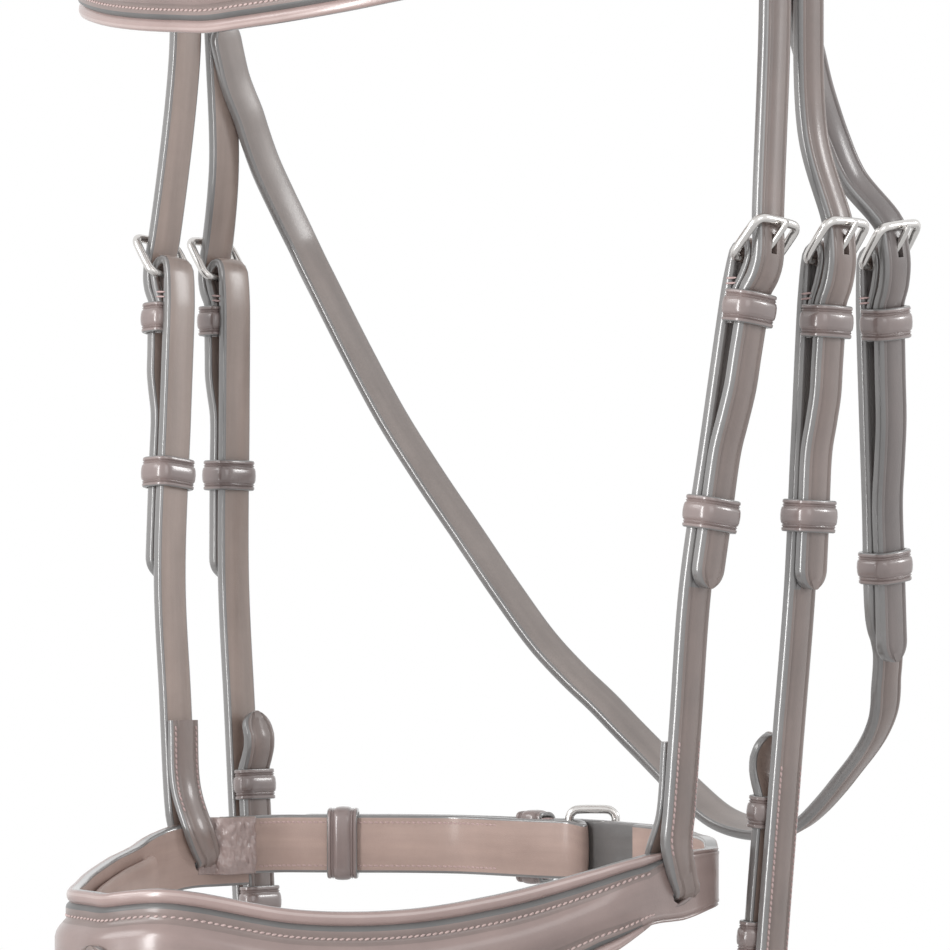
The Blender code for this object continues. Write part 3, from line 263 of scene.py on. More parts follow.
JAW_SEAM_END = 0.014
JAW_STITCH_INSET = 0.0024
LOOP_SEAM = (0.030, 0.006)
LOOP_STITCH_INSET = 0.0022
BROW_PADDING_INSET = 0.0045
NOSE_PADDING_INSET = 0.0075
HANGER_HOLES = (-0.0567, -0.0436, -0.0305, -0.0174, 0.0219, 0.0350, 0.0481, 0.0612)
CHEEK_HOLES = (-0.0585, -0.0451, -0.0321, -0.0191, 0.0350, 0.0481, 0.0612)
THROAT_HOLES = (-0.0098, 0.0266, 0.0387, 0.0492, 0.0597, 0.0718, 0.0823)
STREAK_SCALE = (14.0, 160.0, 1.0)
MOTTLE_SCALE = 46.0
CREASE_SCALE = 420.0
HAZE_SCALE = 240.0
THREAD_SCALE = 1900.0
GRAIN_RELIEF = 0.00012
VIEW_TURN = math.radians(42)
VIEW_DISTANCE = 1.9
VIEW_HEIGHT = -0.232
VIEW_SENSOR = 36.0
VIEW_LENS = 226.8
VIEW_SHIFT = -0.0305
FLOOR_HEIGHT = -0.492
FLOOR_RADIUS = 0.9
LAMPS = (
    ("key", (-1.1, -1.8, 1.0), (0.9, 0.9), 8),
    ("fill", (1.9, -0.5, 0.5), (1.2, 1.2), 5),
    ("rear", (1.35, 1.65, 0.45), (0.5, 0.5), 9),
    ("front_strip", (-0.08, -1.9, -0.1), (0.42, 1.9), 26),
)

# The finishes along a section's outline
FACE, CUT, BACK, ROLL, PAD, GROOVE, RIDGE = range(7)

# Behind a rolled rim: how far in, what a full roll adds, how far up, what a full roll adds, the finish; GROOVE
# there is dyed edge with painted shade
RIM_FOOT = (
    (0.0003, 0.0, -0.0001, -0.0009, GROOVE),
    (0.0004, 0.0007, 0.0002, 0.0, GROOVE),
    (0.0006, 0.0013, 0.0004, 0.0, FACE),
)

Station = namedtuple("Station", "centre half_width half_thickness rise across", defaults=(0.0, None))
Ring = namedtuple("Ring", "centre width face along half_width half_thickness rise travel")


def mixed(low, high, share):
    return low + (high - low) * share


def smooth(points, steps=2):
    """A Catmull-Rom curve through the points, with this many stations to each span."""
    ends = [points[0] * 2 - points[1], *points, points[-1] * 2 - points[-2]]
    found = []
    for a, b, c, d in zip(ends, ends[1:], ends[2:], ends[3:]):
        for step in range(steps):
            t = step / steps
            bend = (a * 2 - b * 5 + c * 4 - d) * t**2 + (b * 3 - a - c * 3 + d) * t**3
            found.append((b * 2 + (c - a) * t + bend) / 2)
    return [*found, points[-1]]


def plain_stations(centres, width=STRAP_WIDTH, thickness=STRAP_THICKNESS):
    return [Station(centre, width / 2, thickness / 2) for centre in centres]


def round_the_end(stations):
    """Stations with the last one drawn out into a half-round tip that ends where it stood."""
    end, before = stations[-1], stations[-2]
    along = (end.centre - before.centre).normalized()
    half = end.half_width
    tip = []
    for share in ROUND_END_SHARES:
        centre = end.centre - along * half * (1 - share)
        tip.append(end._replace(centre=centre, half_width=half * math.sqrt(1 - share**2)))
    return [*stations[:-1], *tip]


def stack_frame(bar, toward, outward):
    down = (toward - bar).normalized()
    out = (outward - down * outward.dot(down)).normalized()
    found = Matrix((down, out, out.cross(down))).transposed().to_4x4()
    found.translation = bar
    return found


def across_of(place):
    return place.to_3x3().col[2].copy()


class Stack:
    """One buckled overlap: the strap folded round the bar inside, the billet over it outside."""

    def __init__(self, place, width=STRAP_WIDTH, keeper=KEEPER_DROP, runner=NEAR_RUNNER_DROP,
                 tail=BILLET_TAIL, travel=RUNNER_TRAVEL, straight=0.0):
        self.frame = place
        self.width = width
        self.keeper = keeper
        self.runner = runner
        self.tail = tail
        self.travel = travel
        self.straight = straight or max(tail, runner + travel + LOOP_LENGTH / 2)
        half, skived = STRAP_THICKNESS / 2, SKIVED_THICKNESS / 2
        self.fold_radius = WIRE_RADIUS + REST_GAP + skived
        self.under = -(WIRE_RADIUS + REST_GAP + half)
        self.chape = self.under + half + REST_GAP + skived
        self.billet_at_bar = self.fold_radius + skived + REST_GAP + half
        self.billet_at_keeper = self.chape + skived + REST_GAP + half
        self.billet_low = self.under + half + REST_GAP + half
        self.head_rise = BUCKLE_REACH * math.cos(BUCKLE_TILT)
        self.head_out = BUCKLE_REACH * math.sin(BUCKLE_TILT)
        self.billet_at_head = self.head_out - WIRE_RADIUS - REST_GAP - half - RUN_GAP

    def at(self, down, out, across=0.0):
        return self.frame @ Vector((down, out, across))

    def station(self, down, out, thickness=STRAP_THICKNESS):
        return Station(self.at(down, out), self.width / 2, thickness / 2, 0.0, across_of(self.frame))

    def folded_strap(self):
        """The carrying strap, from its chape end up, over the bar and down to the end of the stack."""
        settled = self.keeper - LOOP_LENGTH / 2
        end = self.keeper + LOOP_LENGTH / 2 + REST_GAP
        found = [self.station(end, self.chape, SKIVED_THICKNESS)]
        found.append(self.station(settled, self.chape, SKIVED_THICKNESS))
        found.append(self.station(settled / 2, mixed(self.fold_radius, self.chape, 0.4), SKIVED_THICKNESS))
        for step in range(9):
            turn = math.pi * step / 8
            plump = FOLD_PLUMP * min(1.0, step / 3)
            reach = self.fold_radius + plump / 2
            place = (-(reach + FOLD_HEAD) * math.sin(turn), reach * math.cos(turn))
            head = self.station(*place, SKIVED_THICKNESS + plump)
            found.append(head._replace(half_width=head.half_width * (1 - 0.13 * math.sin(turn) ** 3)))
        found.append(self.station(settled, self.under))
        found.append(self.station(self.runner - self.travel - LOOP_LENGTH, self.under))
        found.append(self.station(self.straight, self.under))
        return found

    def billet(self):
        """The billet, from above the buckle down to its rounded tip."""
        keeper_top = self.keeper - LOOP_LENGTH / 2
        keeper_end = self.keeper + LOOP_LENGTH / 2
        low_start = self.runner - self.travel - LOOP_LENGTH
        low = self.billet_low
        places = [
            (-self.head_rise, self.billet_at_head),
            (-self.head_rise / 2, mixed(self.billet_at_head, self.billet_at_bar, 0.7)),
            (0.0, self.billet_at_bar),
            (keeper_top / 2, mixed(self.billet_at_bar, self.billet_at_keeper, 0.3)),
            (keeper_top, self.billet_at_keeper),
            (keeper_end, self.billet_at_keeper),
        ]
        bow = min(BILLET_BOW, (low_start - keeper_end) / 4)
        for share, lift in ((0.25, 0.9), (0.5, 0.85), (0.75, 0.45)):
            places.append((mixed(keeper_end, low_start, share), low + bow * lift))
        places += [(low_start, low), (self.runner, low), (self.tail, low)]
        return round_the_end([self.station(*place) for place in places])


def hanging_frame(side, bar_x, bar_y, lean_x, lean_y):
    """The frame of a stack beside the head, from its bar and the way its straps lean below it."""
    bar = Vector((side * bar_x, bar_y, -BUCKLE_DROP))
    aim = bar + Vector((-side * lean_x, lean_y, -LEAN_LENGTH))
    return stack_frame(bar, aim, Vector((side, 0, 0)))


def hanger_stack(side, runner):
    return Stack(hanging_frame(side, HANGER_BAR_X, HANGER_BAR_Y, HANGER_LEAN_X, HANGER_LEAN_Y), runner=runner)


def cheek_stack(side, runner):
    keeper = CHEEK_KEEPER_DROP if side > 0 else KEEPER_DROP
    place = hanging_frame(side, CHEEK_BAR_X, CHEEK_BAR_Y, CHEEK_LEAN_X, CHEEK_LEAN_Y)
    return Stack(place, keeper=keeper, runner=runner)


def throat_stack():
    place = hanging_frame(1, THROAT_BAR_X, THROAT_BAR_Y, THROAT_LEAN_X, THROAT_LEAN_Y)
    straight = THROAT_RUNNER_DROP + RUNNER_TRAVEL + LOOP_LENGTH / 2
    drops = {"keeper": CHEEK_KEEPER_DROP, "runner": THROAT_RUNNER_DROP, "tail": THROAT_BILLET_TAIL}
    return Stack(place, straight=straight, **drops)


def jaw_stack():
    bar = Vector((JAW_BAR_X, JAW_REACH, -JAW_CENTRE_DROP))
    aim = bar + Vector((-BUCKLE_REACH, JAW_LEAN_Y, 0))
    return Stack(stack_frame(bar, aim, Vector((0, 1, 0))), width=JAW_STRAP_WIDTH, keeper=JAW_KEEPER_DROP)


def flash_bend():
    return STRAP_THICKNESS / 2 + FLASH_CLEARANCE + FLASH_LOOP_THICKNESS / 2


def flash_reach():
    face = NOSE_REACH + NOSE_THICKNESS / 2 + NOSE_RISE
    return face + REST_GAP + FLASH_LOOP_THICKNESS / 2 - flash_bend()


def flash_place(share_x, share_y):
    y = share_y * (flash_reach() if share_y < 0 else FLASH_BACK)
    slope = (CHIN_DROP - FLASH_DROP) / (flash_reach() + FLASH_BACK)
    return Vector((share_x * FLASH_HALF_SPAN, y, -FLASH_DROP - slope * (y + flash_reach())))


def flash_stack():
    bar = flash_place(1.0, FLASH_BAR_Y / flash_reach())
    place = stack_frame(bar, flash_place(*FLASH_FRONT_SHARES[-1]), Vector((1, 0, 0)))
    drops = {"keeper": FLASH_KEEPER_DROP, "runner": FLASH_RUNNER_DROP, "tail": FLASH_BILLET_TAIL}
    return Stack(place, travel=FLASH_RUNNER_TRAVEL, **drops)


def crown_point(turn):
    angle = turn * math.pi / 2
    span = LEG_HALF_SPAN - STRAP_THICKNESS / 2 - REST_GAP - CROWN_FLAT
    fall = CROWN_RISE * (1 - math.cos(angle))
    place = Vector((CROWN_FLAT + span * math.sin(angle), 0, CROWN_PAD_THICKNESS - fall))
    out = Vector((CROWN_RISE * math.sin(angle), 0, span * math.cos(angle))).normalized()
    return place, out


def across_the_middle(station):
    return station._replace(centre=Vector((-station.centre.x, station.centre.y, station.centre.z)))


def crown_route(crown_y, leg_y, crown_width, leg_width):
    near = []
    for share in reversed(ARCH_SHARES):
        place, out = crown_point(share)
        centre = place + out * (REST_GAP + STRAP_THICKNESS / 2)
        centre.y = mixed(crown_y, leg_y, share)
        near.append(Station(centre, mixed(crown_width, leg_width, share) / 2, STRAP_THICKNESS / 2))
    return near + [across_the_middle(station) for station in reversed(near)]


def leg_stations(side):
    """The headpiece's cheek leg, from the split down towards its billet."""
    front = LEG_CENTRE_Y - STRAP_WIDTH / 2
    rows = (
        (front - SLIT_GAP / 4, -LEG_SPLIT_DROP),
        (mixed(front, CHEEK_BAR_Y, 0.4), -mixed(LEG_SPLIT_DROP, BUCKLE_DROP, 0.55)),
    )
    centres = [Vector((side * LEG_HALF_SPAN, y, z)) for y, z in rows]
    return plain_stations(centres, STRAP_WIDTH - SLIT_GAP / 2)


def offset_aside(centres, reach):
    """The centres moved square to the route in plan, to the right of its direction."""
    found = []
    for i, centre in enumerate(centres):
        along = (centres[min(i + 1, len(centres) - 1)] - centres[max(i - 1, 0)]).normalized()
        found.append(centre + along.cross(Vector((0, 0, 1))).normalized() * reach)
    return found


def nose_top(share):
    return -NOSE_TOP_DROP - share * NOSE_WAVE


def noseband_half(side, waves):
    """Half of the noseband from its front centre to just behind the hanger: centre, height, raise share."""
    rows = []
    for (x, y), wave, height in zip(NOSE_PLAN_SHARES, waves, NOSE_HEIGHT_SHARES):
        tall = mixed(NOSE_SIDE_HEIGHT, NOSE_FRONT_HEIGHT, height)
        rows.append((Vector((x * NOSE_HALF_SPAN, y * NOSE_REACH, nose_top(wave) - tall / 2)), tall, height))
    centres = smooth([row[0] for row in rows])
    found = []
    for i, centre in enumerate(centres):
        low = min(i // 2, len(rows) - 2)
        share = i / 2 - low
        tall = mixed(rows[low][1], rows[low + 1][1], share)
        place = Vector((side * centre.x, centre.y, centre.z))
        found.append((place, tall, mixed(rows[low][2], rows[low + 1][2], share)))
    return found


def jaw_points(side):
    return [Vector((side * x * NOSE_HALF_SPAN, y * JAW_REACH, -JAW_CENTRE_DROP)) for x, y in JAW_PLAN_SHARES]


def jaw_line(stack, reach):
    start = stack.at(stack.keeper + LOOP_LENGTH / 2 + JAW_BEND_ROOM, stack.under)
    return offset_aside(smooth([start, *reversed(jaw_points(-1)[:-1])]), reach)


def bit_bend(side):
    height = BIT_LOOP_RADIUS + STRAP_THICKNESS / 2 - BIT_DROP
    return Vector((side * (NOSE_HALF_SPAN + BIT_OUTSET), BIT_Y, height))


def billet_step():
    return STRAP_THICKNESS + BIT_KEEPER_WALL + 2 * RUN_GAP


def beside_cheek(side, last, height, step):
    bend = bit_bend(side)
    share = (height - BIT_LOOP_RADIUS - STRAP_THICKNESS / 2) / (last.z - bend.z)
    return bend.lerp(last, share) + Vector((side * step, 0, 0))


def throat_points(shares):
    points = []
    for x, y, z in shares:
        drop = mixed(THROAT_SWING_DROP, THROAT_DROP, z)
        points.append(Vector((x * LEG_HALF_SPAN, y * THROAT_REACH, -drop)))
    return points


def swing_tip(side, toward):
    x = LEG_HALF_SPAN - STRAP_THICKNESS - RUN_GAP
    axis = Vector((side * x, THROAT_SWING_Y, -THROAT_SWING_DROP))
    return axis + (axis - toward).normalized() * STRAP_WIDTH / 2


# Laying leather along stations


def eased(a, b, c, d, share):
    """A point between b and c on a curve that takes uneven spans without bulging."""
    first = max((b - a).length, 1e-7) ** 0.5
    middle = max((c - b).length, 1e-7) ** 0.5
    last = max((d - c).length, 1e-7) ** 0.5
    leave = c - b + ((b - a) / first - (c - a) / (first + middle)) * middle
    arrive = c - b + ((d - c) / last - (d - b) / (middle + last)) * middle
    t = share
    start = b * (2 * t**3 - 3 * t**2 + 1) + c * (3 * t**2 - 2 * t**3)
    return start + leave * (t**3 - 2 * t**2 + t) + arrive * (t**3 - t**2)


def laid(stations, across, step=RING_STEP, closed=False):
    """Rings close together along the stations, each with its own directions and its travel."""
    own = [station.across or across for station in stations]
    widths = [-way if way.dot(across) < 0 else way for way in own]
    count = len(stations)
    centres, blends = [], []

    def centre_of(i):
        return stations[i % count if closed else min(max(i, 0), count - 1)].centre

    for i in range(count if closed else count - 1):
        a, b, c, d = (centre_of(i + k) for k in (-1, 0, 1, 2))
        if not closed and i == 0:
            a = b * 2 - c
        if not closed and i == count - 2:
            d = c * 2 - b
        pieces = max(1, math.ceil((c - b).length / step))
        for k in range(pieces):
            centres.append(eased(a, b, c, d, k / pieces))
            blends.append((i, (i + 1) % count, k / pieces))
    if not closed:
        centres.append(stations[-1].centre.copy())
        blends.append((count - 1, count - 1, 0.0))
    rings, travel = [], 0.0
    total = len(centres)
    for i, (centre, (low, high, share)) in enumerate(zip(centres, blends)):
        before = centres[i - 1] if closed or i else centre
        after = centres[(i + 1) % total] if closed or i < total - 1 else centre
        along = (after - before).normalized()
        face = along.cross(widths[low].lerp(widths[high], share)).normalized()
        if i:
            travel += (centre - centres[i - 1]).length
        wide = mixed(stations[low].half_width, stations[high].half_width, share)
        thick = mixed(stations[low].half_thickness, stations[high].half_thickness, share)
        rise = mixed(stations[low].rise, stations[high].rise, share)
        rings.append(Ring(centre, face.cross(along), face, along, wide, thick, rise, travel))
    return rings


def corner(wide, thick, reach):
    """A rounded corner from the side of a section up to its face."""
    turns = [math.radians(22.5 * k) for k in range(5)]
    return [(wide + reach * math.cos(a), thick + reach * math.sin(a)) for a in turns]


def whole_section(top, corners, back):
    """A closed outline with the finish of each stretch, from a top, a top corner and a back corner."""
    top_edge = [(w, n, CUT) for w, n in corners[:-2]] + [(w, n, FACE) for w, n in corners[-2:]]
    far_edge = [(w, n, FACE) for w, n in corners[-1:]] + [(w, n, CUT) for w, n in reversed(corners[:-1])]
    outline = top_edge + top + [(-w, n, k) for w, n, k in far_edge]
    wide, low = back[-1][0], -back[-1][1]
    full = low - min(FLESH_DOME, 0.06 * wide)
    doming = [(-0.5 * wide, full * 0.96), (0.0, full), (0.5 * wide, full * 0.96)]
    return outline + back_outline(back, doming)


def back_outline(back, middle):
    """The inner side of an outline: round one corner, across the middle and round the other corner."""
    outline = [(-w, -n, CUT) for w, n in back[:-1]] + [(-back[-1][0], -back[-1][1], BACK)]
    outline += [(w, n, BACK) for w, n in middle]
    return outline + [(w, -n, CUT) for w, n in reversed(back)]


def flat_section(ring):
    """A creased strap: domed grain face, burnished edges, flat flesh side."""
    wide, thick = ring.half_width, ring.half_thickness
    edge = min(EDGE_ROUND, 0.94 * thick, 0.6 * wide)
    inset = min(CREASE_INSET, 0.5 * wide)
    half = min(CREASE_HALF, 0.12 * wide)
    deep = thick - CREASE_DEPTH * min(1.0, wide / STRAP_WIDTH * 2.5)
    crown = thick + DOME * min(1.0, wide / STRAP_WIDTH * 2)
    crease = wide - inset
    side = [(crease + half, thick), (crease, deep), (crease - half, thick), (wide * 0.4, crown)]
    top = [(w, n, FACE) for w, n in side] + [(0.0, crown, FACE)] + [(-w, n, FACE) for w, n in reversed(side)]
    rounding = corner(wide - edge, thick - edge, edge)
    small = min(BACK_ROUND, 0.6 * thick, 0.5 * wide)
    return whole_section(top, rounding, corner(wide - small, thick - small, small))


def nose_section(ring):
    """The noseband's section: its rolled rims run out before the hangers' slits."""
    back = min(1.0, max(0.0, (ring.centre.y - NOSE_HANG_Y + ROLL_RUN_OUT) / ROLL_RUN_OUT))
    return raised_section(ring, (1.0 - back, lower_roll(ring)))


def lower_roll(ring):
    return min(1.0, ring.rise / FULL_ROLL_RISE)


def ledge_reach(wide, roll):
    """How far in from a band's edge its stitches lie, for a rim rolled by this share."""
    full = min(LEDGE_REACH, 0.52 * wide)
    return full if roll > 0.99 else mixed(min(FLAT_LEDGE_REACH, 0.3 * wide), full, roll)


def raised_section(ring, rolls=(1.0, 1.0)):
    """A raised band: rolled rims with a painted highlight along their ridge, the front strap's dyed edge
    darkened as painted shade, a stitched ledge and a padded middle.
    """
    wide, thick, rise = ring.half_width, ring.half_thickness, ring.rise
    sides = []
    for roll in rolls:
        reach = min(ROLL_WIDTH, 0.26 * wide) * mixed(0.28, 1.0, roll)
        ledge = ledge_reach(wide, roll)
        base = wide - min(LEDGE_FOOT, 0.60 * wide) * mixed(0.40, 1.0, roll)
        bead = reach / 2
        found = []
        for k in range(7):
            turn = math.radians(-30 + 28 * k)
            w = wide - bead + bead * math.cos(turn)
            n = thick - ROLL_SINK * roll + bead * 0.62 * math.sin(turn)
            # The ridge stretch of the bead is a painted highlight
            found.append((w, n, RIDGE if k == 3 else ROLL))
        for inward, inward_roll, up, up_roll, finish in RIM_FOOT:
            found.append((wide - reach - inward_roll * roll - inward, thick + up_roll * roll + up, finish))
        found.append((wide - ledge + LEDGE_STEP, thick + LEDGE_LIFT, FACE))
        found.append((wide - ledge, thick + STITCH_BED, FACE))
        found.append((base, thick + PAD_LIFT, FACE))
        for share in (0.13, 0.28, 0.46, 0.68):
            lift = rise * math.sin(math.pi / 2 * min(1.0, share * 1.45))
            found.append((base * (1 - share), thick + PAD_LIFT + lift, PAD))
        if roll < 0.35:
            found = [(w, n, PAD) for w, n, _ in found]
        sides.append(found)
    kinds = [k for _, _, k in reversed(sides[1])][1:] + [CUT]
    outline = [*sides[0], (0.0, thick + PAD_LIFT + rise, PAD)]
    outline += [(-w, n, k) for (w, n, _), k in zip(reversed(sides[1]), kinds)]
    back = corner(wide - BACK_ROUND, thick - BACK_ROUND, BACK_ROUND)
    return outline + back_outline(back, [(-wide * 0.4, -thick), (wide * 0.4, -thick)])


def pad_section(ring):
    """A soft pad: full in the middle, drawn in towards its long edges."""
    wide, thick = ring.half_width, ring.half_thickness
    found = []
    for k in range(28):
        turn = 2 * math.pi * k / 28
        x, y = math.cos(turn), math.sin(turn)
        across = math.copysign(abs(x) ** 0.45, x) * wide
        tall = math.copysign(abs(y) ** 0.62, y) * thick
        found.append((across, tall, FACE))
    return found


def piece_from(name, rings, section, finishes, closed=False, shift=None):
    """A piece skinned over its rings, with a map of travel and width and a finish for each stretch."""
    points, faces, travels, slots, kinds = [], [], [], [], []
    size = 0
    for ring in rings:
        outline = section(ring)
        size = len(outline)
        kinds.append([min(kind, len(finishes) - 1) for _, _, kind in outline])
        for w, n, _ in outline:
            if shift:
                w, n = shift(ring, w, n)
            points.append(ring.centre + ring.width * w + ring.face * n)
            travels.append((ring.travel, w if n > 0 else 2 * ring.half_width - w))
    count = len(rings)
    for i in range(count if closed else count - 1):
        j = (i + 1) % count
        for k in range(size):
            m = (k + 1) % size
            faces.append((i * size + k, i * size + m, j * size + m, j * size + k))
            slots.append(kinds[i][k])
    if not closed:
        faces.append(tuple(range(size - 1, -1, -1)))
        faces.append(tuple(range((count - 1) * size, count * size)))
        slots += [FACE] * 2
    mesh = bpy.data.meshes.new(name)
    mesh.from_pydata(points, [], faces)
    for finish in finishes:
        mesh.materials.append(finish)
    mesh.polygons.foreach_set("material_index", slots)
    lay = mesh.uv_layers.new(name="lay")
    for loop in mesh.loops:
        lay.data[loop.index].uv = travels[loop.vertex_index]
    return finished(name, mesh)


def finished(name, mesh, angle=50):
    mesh.shade_smooth()
    mesh.set_sharp_from_angle(angle=math.radians(angle))
    made = bpy.data.objects.new(name, mesh)
    bpy.context.scene.collection.objects.link(made)
    return made


def ring_at(rings, travel):
    """The place on the strap at this travel, between the two nearest rings."""
    low = 0
    while low < len(rings) - 2 and rings[low + 1].travel < travel:
        low += 1
    first, second = rings[low], rings[low + 1]
    span = max(second.travel - first.travel, 1e-6)
    share = min(1.0, max(0.0, (travel - first.travel) / span))
    parts = [a.lerp(b, share) if hasattr(a, "lerp") else mixed(a, b, share) for a, b in zip(first, second)]
    return Ring(*parts)


def scattered(name, pattern, places, finishes):
    """One piece made of copies of a pattern mesh, each at its own place."""
    points, faces, slots = [], [], []
    for place in places:
        start = len(points)
        order = 1 if place.determinant() > 0 else -1
        points += [place @ vertex.co for vertex in pattern.vertices]
        faces += [tuple(start + i for i in polygon.vertices)[::order] for polygon in pattern.polygons]
        slots += [polygon.material_index for polygon in pattern.polygons]
    mesh = bpy.data.meshes.new(name)
    mesh.from_pydata(points, [], faces)
    for finish in finishes:
        mesh.materials.append(finish)
    mesh.polygons.foreach_set("material_index", slots)
    return finished(name, mesh, angle=60)


def placed(ring, w, n, skew=0.0):
    """A place on the strap: x along it, y across it and z out of its face."""
    turn = Matrix((ring.along, ring.width, ring.face)).transposed()
    turn = turn @ Matrix.Rotation(skew, 3, "Z")
    found = turn.to_4x4()
    found.translation = ring.centre + ring.width * w + ring.face * n
    return found


def only(obj):
    bpy.ops.object.select_all(action="DESELECT")
    obj.select_set(True)
    bpy.context.view_layer.objects.active = obj


def stitch_pattern():
    """One stitch: a short bead of thread, sunk at both ends."""
    bpy.ops.object.select_all(action="DESELECT")
    bpy.ops.mesh.primitive_uv_sphere_add(segments=8, ring_count=5, radius=1.0, rotation=(0, math.pi / 2, 0))
    bead = bpy.context.object
    bead.scale = (STITCH_RADIUS * STITCH_FLATNESS, STITCH_RADIUS, STITCH_HALF)
    bpy.ops.object.transform_apply(location=True, rotation=True, scale=True)
    mesh = bead.data.copy()
    bpy.data.objects.remove(bead, do_unlink=True)
    return mesh


def hole_pattern():
    """One punched hole: a pressed rim round a sunk floor."""
    bpy.ops.object.select_all(action="DESELECT")
    bpy.ops.mesh.primitive_cylinder_add(vertices=18, radius=HOLE_RADIUS * 1.35, depth=PUNCH_DEPTH)
    disc = bpy.context.object
    for polygon in disc.data.polygons:
        polygon.select = polygon.normal.z > 0.9
    bpy.ops.object.mode_set(mode="EDIT")
    bpy.ops.mesh.select_mode(type="FACE")
    bpy.ops.mesh.inset(thickness=HOLE_RADIUS * 0.2)
    bpy.ops.transform.translate(value=(0, 0, PUNCH_RIM_LIFT))
    bpy.ops.mesh.inset(thickness=HOLE_RADIUS * 0.3)
    bpy.ops.transform.translate(value=(0, 0, -PUNCH_FLOOR_SINK))
    bpy.ops.object.mode_set(mode="OBJECT")
    for polygon in disc.data.polygons:
        polygon.material_index = 1 if polygon.select else 0
    mesh = disc.data.copy()
    bpy.data.objects.remove(disc, do_unlink=True)
    return mesh


# Finishes


def shader_of(name):
    material = bpy.data.materials.new(name)
    material.use_nodes = True
    return material, material.node_tree, material.node_tree.nodes["Principled BSDF"]


def joined(tree, source, target):
    tree.links.new(source, target)


def given(made, **values):
    """The node with these settings and unlinked inputs."""
    for key, value in values.items():
        if hasattr(made, key):
            setattr(made, key, value)
        else:
            made.inputs[key.replace("_", " ")].default_value = value
    return made


def node(tree, kind, **values):
    return given(tree.nodes.new(kind), **values)


def object_place(tree):
    return node(tree, "ShaderNodeTexCoord").outputs["Object"]


def noise_at(tree, place, **values):
    made = node(tree, "ShaderNodeTexNoise", **values)
    joined(tree, place, made.inputs["Vector"])
    return made.outputs["Fac"]


def ranged(tree, source, low, high, **bounds):
    """A value brought into another range."""
    made = node(tree, "ShaderNodeMapRange", To_Min=low, To_Max=high, **bounds)
    joined(tree, source, made.inputs["Value"])
    return made.outputs["Result"]


def mottled(tree, light, dark, scale, detail, place):
    """A colour that drifts between two tones, and the drift itself."""
    drift = noise_at(tree, place, Scale=scale, Detail=detail, Roughness=0.6)
    ramp = node(tree, "ShaderNodeValToRGB")
    for element, position, tone in zip(ramp.color_ramp.elements, (0.32, 0.68), (dark, light)):
        element.position, element.color = position, (*tone, 1)
    joined(tree, drift, ramp.inputs["Fac"])
    return ramp.outputs["Color"], drift


def leather(name, light, dark, rough, coat, bump, streak=1.0, pore=1500.0):
    """Bridle leather: tone that drifts along the strap, pores and fine creases, and a waxed top."""
    material, tree, shader = shader_of(name)
    place = object_place(tree)
    along = node(tree, "ShaderNodeMapping", Scale=STREAK_SCALE)
    joined(tree, node(tree, "ShaderNodeUVMap", uv_map="lay").outputs["UV"], along.inputs["Vector"])
    tone, drift = mottled(tree, light, dark, MOTTLE_SCALE, 5.0, place)
    streaks = noise_at(tree, along.outputs["Vector"], Scale=1.0, Detail=4.0)
    spread = ranged(tree, streaks, 1 - 0.10 * streak, 1 + 0.08 * streak, From_Min=0.3, From_Max=0.7)
    tint = node(tree, "ShaderNodeHueSaturation")
    joined(tree, spread, tint.inputs["Value"])
    joined(tree, tone, tint.inputs["Color"])
    joined(tree, tint.outputs["Color"], shader.inputs["Base Color"])
    pores = node(tree, "ShaderNodeTexVoronoi", Scale=pore)
    joined(tree, place, pores.inputs["Vector"])
    height = node(tree, "ShaderNodeMath", operation="ADD")
    joined(tree, pores.outputs["Distance"], height.inputs[0])
    joined(tree, noise_at(tree, place, Scale=CREASE_SCALE, Detail=4.0), height.inputs[1])
    relief = node(tree, "ShaderNodeBump", Strength=bump, Distance=GRAIN_RELIEF)
    joined(tree, height.outputs[0], relief.inputs["Height"])
    joined(tree, relief.outputs["Normal"], shader.inputs["Normal"])
    joined(tree, ranged(tree, drift, rough - 0.07, rough + 0.09), shader.inputs["Roughness"])
    given(shader, Coat_Weight=coat, Coat_Roughness=0.2, Coat_IOR=1.9)
    return material


def steel(name, tone, rough):
    """Polished steel with a trace of hand wear."""
    material, tree, shader = shader_of(name)
    haze = noise_at(tree, object_place(tree), Scale=HAZE_SCALE, Detail=6.0)
    joined(tree, ranged(tree, haze, rough * 0.6, rough * 1.7), shader.inputs["Roughness"])
    given(shader, Base_Color=(*tone, 1), Metallic=1.0)
    return material


def thread(name, light, dark):
    material, tree, shader = shader_of(name)
    tone, _ = mottled(tree, light, dark, THREAD_SCALE, 2.0, object_place(tree))
    joined(tree, tone, shader.inputs["Base Color"])
    given(shader, Roughness=0.55, Sheen_Weight=0.2)
    return material


GRAIN = leather("bridle_grain", (0.275, 0.212, 0.192), (0.218, 0.172, 0.157), 0.38, 0.35, 0.2)
DARK_GRAIN = leather("dark_grain", (0.215, 0.180, 0.172), (0.172, 0.148, 0.144), 0.38, 0.3, 0.2)
# Painted shade: a greyer, slightly darker grain for a strap's face where the billet covers it, between the
# plies
PAINTED_SHADE_GRAIN = leather("painted_shade_grain", (0.225, 0.215, 0.212), (0.180, 0.175, 0.175), 0.36, 0.5, 0.15)
BURNISHED = leather("burnished_edge", (0.185, 0.176, 0.172), (0.145, 0.140, 0.139), 0.3, 1.0, 0.03, 0.5)
# The dyed cut edge in the groove behind a band's rolled rim, darker than the other edges as painted shade
GROOVE_DYE_AND_SHADE = leather("groove_dye_and_painted_shade", (0.150, 0.146, 0.144), (0.118, 0.116, 0.116), 0.45, 0.15, 0.1, 0.5)
RAISED = leather("raised_grain", (0.335, 0.245, 0.225), (0.275, 0.200, 0.185), 0.34, 0.5, 0.18)
ROLLED = leather("rolled_rim", (0.430, 0.310, 0.288), (0.360, 0.255, 0.236), 0.34, 0.6, 0.2)
